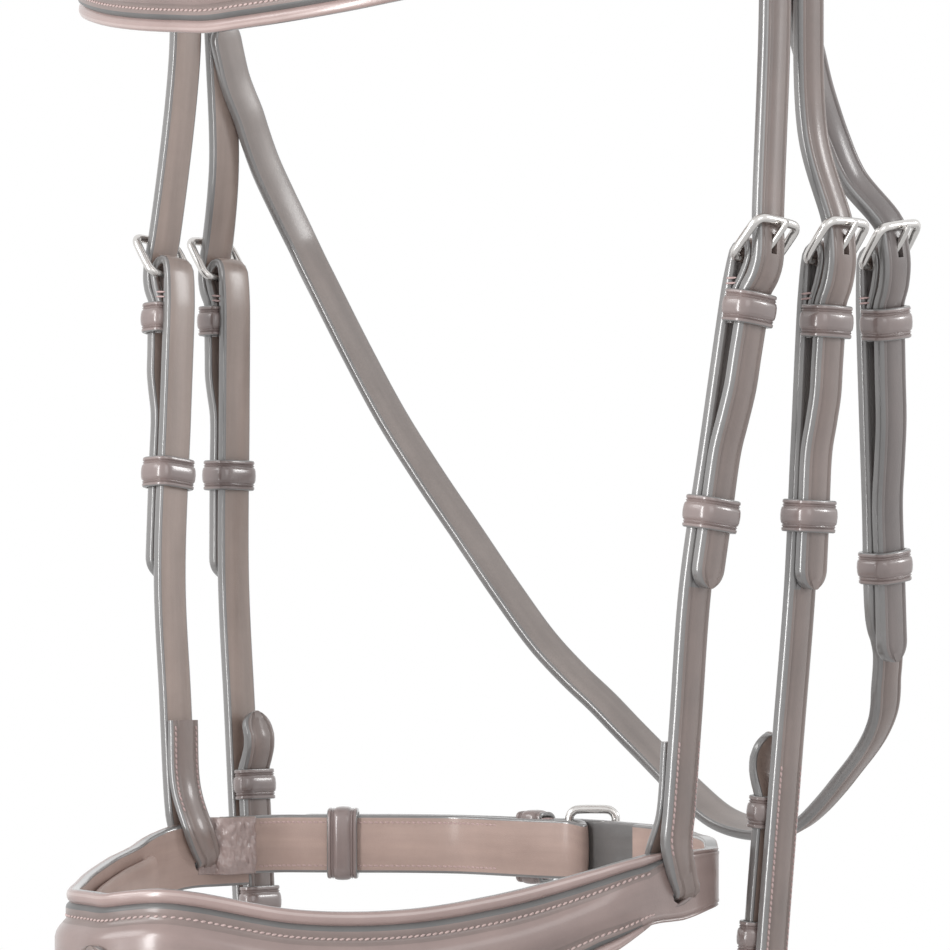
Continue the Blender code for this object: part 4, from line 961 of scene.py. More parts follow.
# Painted highlight: a lighter stripe along the ridge of each rolled rim
RIM_PAINTED_HIGHLIGHT = leather("rim_painted_highlight", (0.520, 0.400, 0.375), (0.440, 0.335, 0.312), 0.32, 0.6, 0.2)
LEDGE = leather("ledge_grain", (0.270, 0.205, 0.188), (0.215, 0.165, 0.152), 0.4, 0.3, 0.2)
FLESH = leather("flesh_side", (0.385, 0.296, 0.258), (0.325, 0.248, 0.214), 0.4, 0.3, 0.22, 1.6, 2600.0)
GREY_FLESH = leather("worn_flesh", (0.315, 0.268, 0.248), (0.255, 0.216, 0.200), 0.42, 0.3, 0.22, 1.6, 2600.0)
# Painted shade: a dark grey flesh side for faces in shade, inside the hook billet's fold and on the near jaw
# billet's inner side
PAINTED_SHADE_FLESH = leather("painted_shade_flesh", (0.170, 0.165, 0.162), (0.125, 0.122, 0.121), 0.4, 0.4, 0.2, 1.4, 2600.0)
LINING = leather("lining_side", (0.475, 0.345, 0.300), (0.405, 0.290, 0.250), 0.5, 0.1, 0.3, 1.2, 2600.0)
CRINKLED = leather("crinkled_lining", (0.440, 0.335, 0.315), (0.330, 0.250, 0.235), 0.36, 0.4, 0.3, 1.2, 2600.0)
KEEPER = leather("keeper_grain", (0.275, 0.210, 0.198), (0.215, 0.166, 0.158), 0.3, 0.65, 0.14)
STEEL = steel("polished_steel", (0.70, 0.68, 0.66), 0.17)
THREAD = thread("pink_thread", (0.60, 0.44, 0.42), (0.44, 0.31, 0.30))
PALE_THREAD = thread("pale_thread", (0.66, 0.51, 0.48), (0.50, 0.37, 0.355))
TAN_HOLE = leather("punched_hole", (0.54, 0.42, 0.34), (0.46, 0.36, 0.29), 0.5, 0.2, 0.1)
STRAP_FINISHES = [GRAIN, BURNISHED, FLESH]
DARK_FINISHES = [DARK_GRAIN, BURNISHED, GREY_FLESH]
THROAT_FINISHES = [GRAIN, BURNISHED, GREY_FLESH]
JAW_FINISHES = [GRAIN, BURNISHED, LINING]
# The jaw billet's inner flesh side is painted shade, a dark grey finish
JAW_BILLET_FINISHES = [GRAIN, BURNISHED, PAINTED_SHADE_FLESH]
KEEPER_FINISHES = [KEEPER, BURNISHED, FLESH]
BAND_FINISHES = [LEDGE, BURNISHED, LINING, ROLLED, RAISED, GROOVE_DYE_AND_SHADE, RIM_PAINTED_HIGHLIGHT]
STITCH = stitch_pattern()
HOLE = hole_pattern()


def paint_shade_inside(piece, finish, index, inside):
    """Gives the faces of one finish another one where they lie inside a shape: painted shade, as under a
    billet.
    """
    piece.data.materials.append(finish)
    new = len(piece.data.materials) - 1
    for polygon in piece.data.polygons:
        if polygon.material_index == index and inside(polygon.center):
            polygon.material_index = new


def carried(piece, body, instead_of=None):
    """Rides a piece on its body where one is given, in place of a CAD node where one is given."""
    if body:
        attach(piece, body)
    if instead_of:
        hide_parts(instead_of)


def strap(name, stations, across, body=None, finishes=None, section=flat_section, cuts=(), laps_itself=False):
    """A leather strap with its grain outside and its flesh side within, in place of its CAD node."""
    rings = laid(stations, across)
    piece = piece_from(name + "_leather", rings, section, finishes or STRAP_FINISHES)
    for outlines in cuts:
        cut_room(piece, outlines, laps_itself)
    carried(piece, body, instead_of=name)
    return piece, rings


def cut_room(piece, outlines, laps_itself=False):
    """Cuts the room between two outlines out of a piece, which may lap over itself."""
    size = len(outlines[0])
    faces = [tuple(range(size - 1, -1, -1)), tuple(range(size, 2 * size))]
    faces += [(k, (k + 1) % size, size + (k + 1) % size, size + k) for k in range(size)]
    mesh = bpy.data.meshes.new("room")
    mesh.from_pydata([*outlines[0], *outlines[1]], [], faces)
    room = bpy.data.objects.new("room", mesh)
    bpy.context.scene.collection.objects.link(room)
    only(room)
    bpy.ops.object.mode_set(mode="EDIT")
    bpy.ops.mesh.select_all(action="SELECT")
    bpy.ops.mesh.normals_make_consistent(inside=False)
    bpy.ops.object.mode_set(mode="OBJECT")
    only(piece)
    cut = piece.modifiers.new("cut", "BOOLEAN")
    cut.operation, cut.solver, cut.object = "DIFFERENCE", "EXACT", room
    cut.use_self = laps_itself
    bpy.ops.object.modifier_apply(modifier="cut")
    bpy.data.objects.remove(room, do_unlink=True)


def tongue_slot(stack):
    """The room for the tongue's hook in the fold round the bar."""
    reach = WIRE_RADIUS + TONGUE_GAP + 2 * TONGUE_RADIUS + HOLE_EASE
    turns = [2 * math.pi * k / 20 for k in range(20)]
    half = TONGUE_RADIUS + HOLE_EASE
    return [[stack.at(reach * math.cos(a), reach * math.sin(a), w) for a in turns] for w in (-half, half)]


def tongue_hole(stack):
    """The hole in the billet that the tongue lifts and lies in."""
    ring = WIRE_RADIUS + TONGUE_GAP + TONGUE_RADIUS
    spare = TONGUE_RADIUS + HOLE_EASE
    outline = []
    for lift, offset in ((0.0, ring - spare), (TONGUE_LIFT, ring + spare)):
        tilt = BUCKLE_TILT + lift
        for reach in (0.0, BUCKLE_REACH) if lift == 0.0 else (BUCKLE_REACH, 0.0):
            down = offset * math.sin(tilt) - reach * math.cos(tilt)
            outline.append((down, offset * math.cos(tilt) + reach * math.sin(tilt)))
    return [[stack.at(*point, w) for point in outline] for w in (-spare, spare)]


def stitches(name, rings, rows, start, end, body, pitch=STITCH_PITCH, finish=None):
    """Rows of stitches between two travels: each row gives its width and height on a ring."""
    places = []
    count = int((end - start) / pitch)
    for width_of, height_of in rows:
        for i in range(count + 1):
            ring = ring_at(rings, start + i * pitch)
            places.append(placed(ring, width_of(ring), height_of(ring), STITCH_LEAN))
    carried(scattered(name, STITCH, places, [finish or THREAD]), body)


def both_edges(inset, out=True):
    """Stitch rows along both edges of a strap's outer or inner face."""
    sign = 1 if out else -1
    rows = []
    for side in (1, -1):
        rows.append((
            lambda ring, side=side: side * (ring.half_width - inset),
            lambda ring: sign * (ring.half_thickness + STITCH_RADIUS * 0.1),
        ))
    return rows


def travel_of(rings, stack, down, low=-0.01, high=0.012):
    """The travel of the strap's ring at this distance down the stack."""
    back = stack.frame.inverted()
    best, found = 1.0, 0.0
    for ring in rings:
        place = back @ ring.centre
        if abs(place.z) < 0.006 and low < place.y < high and abs(place.x - down) < best:
            best, found = abs(place.x - down), ring.travel
    return found


def punched(name, rings, stack, downs, body):
    """Punched holes on both faces of a billet, at these distances down its stack."""
    places = []
    for down in downs:
        ring = ring_at(rings, travel_of(rings, stack, down))
        height = ring.half_thickness - HOLE_SINK
        places.append(placed(ring, 0.0, height))
        places.append(placed(ring, 0.0, -height) @ Matrix.Rotation(math.pi, 4, "X"))
    carried(scattered(name, HOLE, places, [TAN_HOLE, TAN_HOLE]), body)


def round_section(ring):
    turns = [2 * math.pi * k / 16 for k in range(16)]
    return [(ring.half_width * math.cos(a), ring.half_width * math.sin(a), FACE) for a in turns]


def wire(node_name, stations, across, body, closed=False, step=WIRE_STEP):
    """A round steel wire in place of its CAD node."""
    rings = laid(stations, across, step=step, closed=closed)
    piece = piece_from(node_name + "_steel", rings, round_section, [STEEL], closed=closed)
    carried(piece, body, node_name)


def keeper_section(ring):
    """A keeper's strip: crowned, with a crease along both edges."""
    wide, thick = ring.half_width, ring.half_thickness
    edge = min(KEEPER_EDGE, 0.8 * thick)
    side = [(wide - inset, thick + lift) for inset, lift in KEEPER_CREASES]
    side.append((wide * 0.3, thick + KEEPER_CROWN * 0.8))
    top = [(w, n, FACE) for w, n in side] + [(0.0, thick + KEEPER_CROWN, FACE)]
    top += [(-w, n, FACE) for w, n in reversed(side)]
    rounding = corner(wide - edge, thick - edge, edge)
    return whole_section(top, rounding, rounding)


def keeper(name, place, down, low, high, half_across, body, length=LOOP_LENGTH, wall=LOOP_WALL, sewn=False):
    """A leather loop round the stack, or sewn in between its plies, in place of its CAD node."""
    middle, tall = (low + high) / 2, (high - low) / 2 + RUN_GAP + wall / 2
    wide = half_across + RUN_GAP + wall / 2
    bend = min(KEEPER_BEND, tall * 0.9, wide * 0.9)
    points = round_loop(tall, wide, bend, min(bend, SEWN_BEND) if sewn else bend)
    across = place.to_3x3().col[0].copy()
    centres = [place @ Vector((down, middle + n, w)) for n, w in points]
    stations = [Station(centre, length / 2, wall / 2, 0.0, across) for centre in centres]
    inside = place @ Vector((down, middle, 0.0))
    rings = laid(stations, across, step=KEEPER_STEP, closed=True)
    if rings[0].face.dot(rings[0].centre - inside) < 0:
        rings = laid(stations[::-1], across, step=KEEPER_STEP, closed=True)
    piece = piece_from(name + "_leather", rings, keeper_section, KEEPER_FINISHES, closed=True)
    carried(piece, body, instead_of=name)


def round_loop(tall, wide, bend, low_bend):
    """Points round a rectangle with rounded corners, its outer run bowed like a full keeper's."""
    points = []
    for n_side, w_side, start in ((1, 1, 0), (-1, 1, 90), (-1, -1, 180), (1, -1, 270)):
        reach = bend if n_side > 0 else low_bend
        for k in range(5):
            turn = math.radians(start + 22.5 * k)
            n = n_side * (tall - reach) + reach * math.cos(turn)
            points.append((n, w_side * (wide - reach) + reach * math.sin(turn)))
    points.append((tall + KEEPER_BOW, 0.0))
    return points


def frame_wire(stack):
    """Centres of the buckle's wire, a rounded rectangle that tilts out of the strap."""
    up = Vector((-math.cos(BUCKLE_TILT), math.sin(BUCKLE_TILT), 0.0))
    half = stack.width / 2 + BUCKLE_SIDE_GAP + WIRE_RADIUS
    low, high = BUCKLE_CORNER, BUCKLE_REACH - BUCKLE_CORNER
    side = half - BUCKLE_CORNER
    centres = []
    for rise, across, start in ((low, -side, 270), (low, side, 180), (high, side, 90), (high, -side, 0)):
        for step in range(5):
            turn = math.radians(start - 22.5 * step)
            place = up * (rise + BUCKLE_CORNER * math.cos(turn))
            place.z = across + BUCKLE_CORNER * math.sin(turn)
            centres.append(stack.frame @ place)
    return centres


def tongue_wire(stack):
    """Centres of the tongue: a hook round the bar, then a pin that dips over the head of the frame."""
    ring = WIRE_RADIUS + TONGUE_GAP + TONGUE_RADIUS
    lead = Vector((-math.cos(BUCKLE_TILT), math.sin(BUCKLE_TILT), 0.0))
    side = Vector((math.sin(BUCKLE_TILT), math.cos(BUCKLE_TILT), 0.0))
    centres = []
    for step in range(15):
        turn = TONGUE_WRAP * (1 - step / 14)
        centres.append(stack.frame @ ((side * math.cos(turn) - lead * math.sin(turn)) * ring))
    length = BUCKLE_REACH + TONGUE_OVERHANG
    for share in (0.25, 0.5, 0.75, 0.9, 1.0):
        centres.append(stack.frame @ (side * ring + lead * length * share))
    return centres


def buckle(name, stack, body):
    """The frame, tongue and fixed keeper of one stack."""
    flat = Vector((math.sin(BUCKLE_TILT), math.cos(BUCKLE_TILT), 0.0))
    plane = stack.frame.to_3x3() @ flat
    stations = [Station(centre, WIRE_RADIUS, WIRE_RADIUS) for centre in frame_wire(stack)]
    wire("buckle_" + name, stations, plane, body, closed=True)
    pins = tongue_wire(stack)
    radii = [TONGUE_RADIUS] * (len(pins) - 2) + [TONGUE_RADIUS * 0.95, TONGUE_RADIUS * 0.6]
    stations = [Station(centre, radius, radius) for centre, radius in zip(pins, radii)]
    wire("tongue_" + name, stations, across_of(stack.frame), "tongue_" + name)
    low = stack.under + STRAP_THICKNESS / 2 + RUN_GAP + LOOP_WALL / 2
    high = stack.billet_at_keeper + STRAP_THICKNESS / 2
    keeper("keeper_" + name, stack.frame, stack.keeper, low, high, stack.width / 2, body, sewn=True)


def runner(name, stack):
    low, high = stack.under - STRAP_THICKNESS / 2, stack.billet_low + STRAP_THICKNESS / 2
    keeper("runner_" + name, stack.frame, stack.runner, low, high, stack.width / 2, "runner_" + name)


def cross_stitches(name, stack, body):
    """Two stitches over each edge of the fold, across both plies, between the buckle and its keeper."""
    places = []
    middle = (stack.under + stack.chape) / 2 + OVERCAST_SHIFT
    for row in (1, 2):
        down = stack.keeper - LOOP_LENGTH / 2 - row * OVERCAST_PITCH
        for side in (1, -1):
            place = Matrix.Translation(Vector((down, middle, side * (stack.width / 2 + 0.0001))))
            turn = Matrix.Rotation(math.pi / 2 + OVERCAST_LEAN, 4, "Z")
            places.append(stack.frame @ place @ turn @ Matrix.Diagonal((OVERCAST_STRETCH, 1.0, 1.0, 1.0)))
    carried(scattered(name, STITCH, places, [THREAD]), body)


# The straps


def add_headpiece(near, off):
    """The crown strap, and the two cheek billets that its legs are split into."""
    over = crown_route(CROWN_CENTRE_Y, LEG_CENTRE_Y, CROWN_WIDTH, 2 * STRAP_WIDTH)
    ends = [Vector((side * LEG_HALF_SPAN, LEG_CENTRE_Y, SPLIT_HIDDEN)) for side in (1, -1)]
    top, foot = plain_stations(ends, 2 * STRAP_WIDTH)
    strap("headpiece", [top, *over, foot], Vector((0, -1, 0)), "bridle")
    for name, side, stack in (("near", 1, near), ("off", -1, off)):
        leg = leg_stations(side)
        top = leg[0]._replace(centre=Vector((leg[0].centre.x, leg[0].centre.y, SPLIT_HIDDEN + 0.001)))
        route = [top, *leg, *stack.billet()]
        rings = laid(route if side < 0 else route[::-1], Vector((0, -1, 0)))
        billet = piece_from("cheek_billet_" + name, rings, flat_section, STRAP_FINISHES)
        cut_room(billet, tongue_hole(stack))
        carried(billet, "bridle", instead_of="headpiece")
        punched("cheek_billet_holes_" + name, rings, stack, CHEEK_HOLES, "bridle")


def add_sliphead(near, off):
    over = crown_route(SLIPHEAD_CROWN_Y, SLIPHEAD_LEG_Y, STRAP_WIDTH, STRAP_WIDTH)
    foot = -BROWBAND_DROP - BROWBAND_HEIGHT
    feet = plain_stations([Vector((side * LEG_HALF_SPAN, SLIPHEAD_LEG_Y, foot)) for side in (1, -1)])
    stations = [*reversed(near.billet()), feet[0], *over, feet[1], *off.billet()]
    cuts = [tongue_hole(near), tongue_hole(off)]
    _, rings = strap("noseband_headpiece", stations, Vector((0, -1, 0)), "bridle", cuts=cuts)
    for name, stack in (("near", near), ("off", off)):
        punched("hanger_billet_holes_" + name, rings, stack, HANGER_HOLES, "bridle")


def pad(name, stations, across, body):
    """A soft lining pad in place of its CAD node."""
    rings = laid(stations, across)
    piece = piece_from(name + "_leather", rings, pad_section, [LINING])
    carried(piece, body, name)
    return rings


def add_crown_pad():
    half = []
    shares = ARCH_SHARES[:5]
    for share in reversed(shares):
        place, out = crown_point(share)
        thick = CROWN_PAD_THICKNESS * mixed(1.0, 0.55, share / shares[-1])
        centre = place - out * thick / 2
        centre.y = CROWN_PAD_CENTRE_Y
        half.append(Station(centre, CROWN_PAD_WIDTH / 2, thick / 2))
    off = [across_the_middle(station) for station in reversed(half)]
    rings = pad("crown_pad", half + off, Vector((0, -1, 0)), "bridle")
    rows = []
    for side in (1, -1):
        rows.append((
            lambda ring, side=side: side * ring.half_width * 0.88,
            lambda ring: ring.half_thickness * 0.62,
        ))
    stitches("crown_pad_stitches", rings, rows, SEAM_END, rings[-1].travel - SEAM_END, "bridle")


def add_browband():
    front = SLIPHEAD_LEG_Y - STRAP_WIDTH / 2
    end_y = front - RUN_GAP - LOOP_WALL - REST_GAP - BROWBAND_THICKNESS * 0.2
    points = []
    for (x, y), dip in zip(BROW_PLAN_SHARES, BROW_DIP_SHARES):
        points.append(Vector((x * LEG_HALF_SPAN, y * BROWBAND_REACH, -BROWBAND_DROP - dip * BROWBAND_DIP)))
    points.append(Vector((LEG_HALF_SPAN, end_y, -BROWBAND_DROP)))
    half = smooth(points)
    centres = [Vector((-c.x, c.y, c.z)) for c in reversed(half)] + half[1:]
    stations = [Station(c, BROWBAND_HEIGHT / 2, BROWBAND_THICKNESS / 2, BROWBAND_RISE) for c in centres]
    upright = Vector((0, 0, 1))
    _, rings = strap("browband", stations, upright, "browband", BAND_FINISHES, raised_section)
    end = rings[-1].travel - SEAM_END
    stitches("browband_stitches", rings, rim_rows(), SEAM_END, end, "browband", BAND_PITCH, PALE_THREAD)
    inward = offset_aside(centres, -(BROWBAND_THICKNESS / 2 + REST_GAP + RUN_GAP + BROWBAND_PADDING / 2))
    tall = BROWBAND_HEIGHT - BROW_PADDING_INSET
    padding = [Station(c, tall / 2, BROWBAND_PADDING / 2) for c in inward[3:-3]]
    pad("browband_padding", padding, upright, "browband")
    back = LEG_CENTRE_Y + STRAP_WIDTH
    for name, side in (("near", 1), ("off", -1)):
        top, foot = (Vector((side * LEG_HALF_SPAN, 0, -drop * BROWBAND_DROP)) for drop in (1, 2))
        place = stack_frame(top, foot, Vector((0, 1, 0)))
        keeper("browband_loop_" + name, place, 0.0, front, back, STRAP_THICKNESS / 2, "browband",
               length=BROWBAND_HEIGHT - 2 * LOOP_WALL)


def rim_rows():
    """Stitch rows in the ledge between a raised band's rims and its padded middle."""

    def upper(ring):
        return ring.half_width - ledge_reach(ring.half_width, 1.0)

    def lower(ring):
        return ledge_reach(ring.half_width, lower_roll(ring)) - ring.half_width

    def lift(ring):
        return ring.half_thickness + STITCH_BED + STITCH_RADIUS * 0.5

    return [(upper, lift), (lower, lift)]


def add_noseband():
    rows = noseband_half(-1, NOSE_WAVE_OFF_SHARES)[::-1] + noseband_half(1, NOSE_WAVE_SHARES)[1:]
    stations = []
    for centre, tall, lift in rows:
        rise = NEAR_END_RISE * min(1.0, max(0.0, 1 + centre.y / 0.022)) if centre.x > 0 else 0.0
        centre = centre + Vector((0, 0, rise / 2))
        stations.append(Station(centre, (tall - rise) / 2, NOSE_THICKNESS / 2, NOSE_RISE * lift))
    for i, centre in enumerate(smooth([rows[-1][0], *jaw_points(1)])[1:]):
        share = min(1.0, (i + 1) / 3)
        tall = mixed(NOSE_SIDE_HEIGHT - NEAR_END_RISE, JAW_STRAP_WIDTH, share)
        stations.append(Station(centre, tall / 2, mixed(NOSE_THICKNESS, STRAP_THICKNESS, share) / 2, 0.0))
    upright = Vector((0, 0, 1))
    slits = [hanger_slit(side) for side in (1, -1)]
    _, rings = strap("noseband_front", stations, upright, "bridle", BAND_FINISHES, nose_section,
                     cuts=slits)
    ends = [ring.travel for ring in rings if ring.centre.y < NOSE_HANG_Y - STRAP_WIDTH / 2 - 0.001]
    stitches("noseband_stitches", rings, rim_rows(), ends[0], ends[-1], "bridle", BAND_PITCH, PALE_THREAD)
    for name, side in (("near", 1), ("off", -1)):
        add_slit_welt(name, side)
    centres = [row[0] for row in rows]
    inward = offset_aside(centres, -(NOSE_THICKNESS / 2 + REST_GAP + RUN_GAP + NOSE_PADDING / 2))
    padding = []
    for centre, row in list(zip(inward, rows))[9:-9]:
        padding.append(Station(centre, (row[1] - NOSE_PADDING_INSET) / 2, NOSE_PADDING / 2))
    pad("noseband_padding", padding, upright, "bridle")


def hanger_slit(side):
    """The slit across the noseband that a hanger is folded through: a long hole with round ends."""
    half, reach = SLIT_HALF + RUN_GAP, NOSE_THICKNESS / 2 + CUT_OVERRUN
    end = [(half + out, SLIT_OPEN * share) for out, share in SLIT_END]
    outline = [(-half, 0.0), (half, 0.0), *end, *((-y, z) for y, z in reversed(end))]
    return [[slit_place(side, x, y, z) for y, z in outline] for x in (-reach, reach)]


def slit_place(side, out, back, down):
    """A place by the slit: out of the band, along the slit towards the jaw, and down the leaning strap."""
    run = Vector((0, math.cos(SLIT_LEAN), math.sin(SLIT_LEAN)))
    fall = Vector((0, math.sin(SLIT_LEAN), -math.cos(SLIT_LEAN)))
    middle = Vector((side * (NOSE_HALF_SPAN + out), NOSE_HANG_Y + SLIT_SHIFT, nose_top(0.0) - SLIT_DEPTH))
    return middle + run * back + fall * down


def add_slit_welt(name, side):
    """The pressed lip along the slit's lower edge."""
    half = SLIT_HALF + WELT_OVERRUN
    stations = []
    for share in (-1.0, -0.7, -0.35, 0.0, 0.35, 0.7, 1.0):
        down = SLIT_OPEN + 0.0005 - 0.0007 * share**2
        radius = WELT_RADIUS * (1.05 - share**2) + 0.0001
        centre = slit_place(side, NOSE_THICKNESS / 2 + WELT_PROUD, share * half, down)
        stations.append(Station(centre, radius, radius))
    rings = laid(stations, Vector((0, 0, 1)), step=WELT_STEP)
    carried(piece_from("slit_welt_" + name, rings, round_section, [KEEPER]), "bridle")


def add_hanger(name, side, stack):
    """From its fold over the buckle bar down the outside of the noseband, through the slit and up inside."""
    skived, full = SKIVED_THICKNESS / 2, STRAP_THICKNESS / 2
    radius = NOSE_THICKNESS / 2 + REST_GAP + skived
    found = stack.folded_strap()
    last = found[-1].centre
    lip = Vector((side * (NOSE_HALF_SPAN + NOSE_THICKNESS / 2 + REST_GAP + full), NOSE_HANG_Y, nose_top(0.0)))
    found += plain_stations([last.lerp(lip, 0.5), last.lerp(lip, 0.85), lip + Vector((0, 0.0002, 0.0035))])
    above = slit_place(side, radius + 0.0006, 0.0, -SLIT_DEPTH * 0.72)
    found.append(Station(above, STRAP_WIDTH / 2 - 0.0007, full * 0.95))
    entering = slit_place(side, radius + 0.0002, 0.0, -SLIT_DEPTH * 0.3)
    found.append(Station(entering, SLIT_HALF + 0.0003, full * 0.8))
    for step in range(9):
        turn = math.pi * step / 8
        centre = slit_place(side, radius * math.cos(turn), 0.0, radius * math.sin(turn))
        found.append(Station(centre, SLIT_HALF, skived))
    inner = slit_place(side, -radius, 0.0, -SLIT_DEPTH * 0.9)
    found.append(Station(inner, STRAP_WIDTH / 2, skived))
    top = last.lerp(lip, 1 - (DOUBLED_LENGTH - SLIT_DEPTH) / (last.z - lip.z))
    inward = Vector((side * (full + REST_GAP + skived), 0, 0))
    for share in (0.35, 1.0):
        found.append(Station(lip.lerp(top, share) - inward, STRAP_WIDTH / 2, skived))
    cuts = [tongue_slot(stack), tongue_hole(stack)]
    piece, rings = strap("noseband_hanger_" + name, found, Vector((0, side, 0)), "bridle", cuts=cuts)
    under_the_billet(piece, stack)
    lip_travel = min(rings, key=lambda ring: (ring.centre - lip).length).travel
    edges = both_edges(STITCH_INSET)
    for kind, end, late in (("", lip_travel, 0.0), ("inner_", rings[-1].travel, SEAM_END)):
        start = end - DOUBLED_LENGTH + SLIT_DEPTH + late
        stitches("hanger_" + kind + "stitches_" + name, rings, edges, start, end - 0.001, "bridle")
    cross_stitches("hanger_cross_stitches_" + name, stack, "bridle")


def add_cheekpiece(name, side, stack):
    """From its fold over the buckle bar down to the bit loop and back up inside as the hook stud billet."""
    half = STRAP_THICKNESS / 2
    found = stack.folded_strap()
    last = found[-1].centre
    bend = bit_bend(side)
    centres = [last.lerp(bend, 0.35), last.lerp(bend, 0.7), bend]
    for step in range(1, 10):
        turn = math.pi * step / 9
        x = BIT_LOOP_RADIUS * (math.cos(turn) - 1)
        centres.append(bend + Vector((side * x, 0, -BIT_LOOP_RADIUS * math.sin(turn))))
    free_from = UPPER_BIT_KEEPER + LOOP_LENGTH / 2
    for height in (LOWER_BIT_KEEPER - LOOP_LENGTH / 2, LOWER_BIT_KEEPER, UPPER_BIT_KEEPER, free_from):
        centres.append(beside_cheek(side, last, height, -billet_step()))
    found += plain_stations(centres)
    for share, bow in HOOK_BILLET_BOWS:
        height = mixed(free_from, HOOK_BILLET_LENGTH, share)
        place = beside_cheek(side, last, height, -billet_step() - bow * BILLET_END_BOW)
        found.append(Station(place, STRAP_WIDTH / 2, half * (1 - 0.25 * share)))
    stud_place = bit_end(side, last, HOOK_STUD_HEIGHT)
    radius = STUD_RADIUS + RUN_GAP
    turns = [2 * math.pi * k / 16 for k in range(16)]
    stud_hole = []
    for reach in (-billet_step() - STRAP_THICKNESS, -STRAP_THICKNESS / 2 - BIT_KEEPER_WALL / 2):
        rim = [(radius * math.cos(a), reach, radius * math.sin(a)) for a in turns]
        stud_hole.append([stud_place @ Vector(point) for point in rim])
    piece, rings = strap("cheekpiece_" + name, round_the_end(found), Vector((0, side, 0)), "bridle",
                         cuts=[tongue_slot(stack), tongue_hole(stack), stud_hole])
    # Painted shade: the flesh side inside the fold, up the hook billet, gets a dark grey finish
    inner = abs(bend.x) - BIT_LOOP_RADIUS * 0.2
    paint_shade_inside(piece, PAINTED_SHADE_FLESH, BACK, lambda at: abs(at.x) < inner and at.z < bend.z + HOOK_BILLET_ROOM)
    under_the_billet(piece, stack)
    cross_stitches("cheek_cross_stitches_" + name, stack, "bridle")
    fold = min(range(len(rings)), key=lambda i: (rings[i].centre - bend).length)
    height = beside_cheek(side, last, UPPER_BIT_KEEPER + CHEEK_SEAM_RISE, 0.0).z
    top = min(rings[:fold], key=lambda ring: abs(ring.centre.z - height) + abs(ring.centre.x - bend.x))
    end = rings[fold].travel - CHEEK_SEAM_END
    stitches("cheek_stitches_" + name, rings, both_edges(STITCH_INSET), top.travel, end, "bridle")
    low = -billet_step() - STRAP_THICKNESS / 2
    for level, height in (("upper", UPPER_BIT_KEEPER), ("lower", LOWER_BIT_KEEPER)):
        keeper("bit_keeper_" + level + "_" + name, bit_end(side, last, height), 0.0, low, low + STRAP_THICKNESS,
               STRAP_WIDTH / 2, "bridle", wall=BIT_KEEPER_WALL)
    add_hook_stud(name, stud_place)


def under_the_billet(piece, stack):
    """Painted shade: the grain that the billet covers gets a greyer, slightly darker finish for the shade
    between the plies.
    """
    back = stack.frame.inverted()

    def covered(place):
        at = back @ place
        beneath = abs(at.y - stack.under) < STRAP_THICKNESS * 0.6
        return beneath and 0.0 < at.x < stack.tail and abs(at.z) < stack.width

    paint_shade_inside(piece, PAINTED_SHADE_GRAIN, FACE, covered)


def bit_end(side, last, height):
    """A frame on the lower cheekpiece: x down it, y out of its outer face."""
    place = beside_cheek(side, last, height, 0.0)
    return stack_frame(place, beside_cheek(side, last, 0.0, 0.0), Vector((side, 0, 0)))


def add_hook_stud(name, place):
    """A riveted plate, a stem through the billet's hole and a hook with a rounded end."""
    start = -STRAP_THICKNESS / 2 - REST_GAP
    clear = -billet_step() - STRAP_THICKNESS / 2 - RUN_GAP
    outline = (
        (start, 0.0, STUD_PLATE_RADIUS * 0.8),
        (start - STUD_PLATE * 0.3, 0.0, STUD_PLATE_RADIUS),
        (start - STUD_PLATE * 0.7, 0.0, STUD_PLATE_RADIUS * 0.8),
        (start - STUD_PLATE, 0.0, STUD_RADIUS * 1.2),
        (clear + STUD_RADIUS * 0.3, 0.0, STUD_RADIUS),
        (clear - STUD_RADIUS * 0.5, STUD_RADIUS * 0.2, STUD_RADIUS * 1.05),
        (clear - STUD_RADIUS * 1.2, STUD_RADIUS * 0.9, STUD_HEAD * 0.75),
        (clear - STUD_RADIUS * 1.6, STUD_HEAD, STUD_HEAD * 0.8),
        (clear - STUD_RADIUS * 1.6, STUD_STAND * 0.85, STUD_RADIUS),
        (clear - STUD_RADIUS * 1.6, STUD_STAND, STUD_RADIUS * 0.35),
    )
    stations = [Station(place @ Vector((down, reach, 0)), radius, radius) for reach, down, radius in outline]
    wire("hook_stud_" + name, stations, across_of(place), "bridle", step=STUD_STEP)


def add_jaw_strap(stack):
    """From its fold over the jaw buckle round the off side to its lap on the noseband's off end."""
    found = stack.folded_strap()[:-2]
    line = jaw_line(stack, 0.0)
    band = [row[0] for row in noseband_half(-1, NOSE_WAVE_OFF_SHARES)][-5:]
    lapped = offset_aside(band, NOSE_THICKNESS / 2 + REST_GAP + STRAP_THICKNESS / 2)
    for centre in reversed(lapped):
        if centre.y > NOSE_HANG_Y + STRAP_WIDTH / 2 + LAP_GAP:
            line.append(Vector((centre.x, centre.y, line[-1].z)))
    found += plain_stations(line, stack.width)
    cuts = [tongue_slot(stack), tongue_hole(stack)]
    _, rings = strap("jaw_strap", found, Vector((0, 0, 1)), "bridle", JAW_FINISHES, cuts=cuts)
    start = travel_of(rings, stack, stack.keeper + LOOP_LENGTH, low=-0.01, high=-0.001)
    end = rings[-1].travel - JAW_SEAM_END
    stitches("jaw_strap_stitches", rings, both_edges(JAW_STITCH_INSET, out=False), start, end, "bridle")
    cross_stitches("jaw_cross_stitches", stack, "bridle")
    add_jaw_patch(rings)


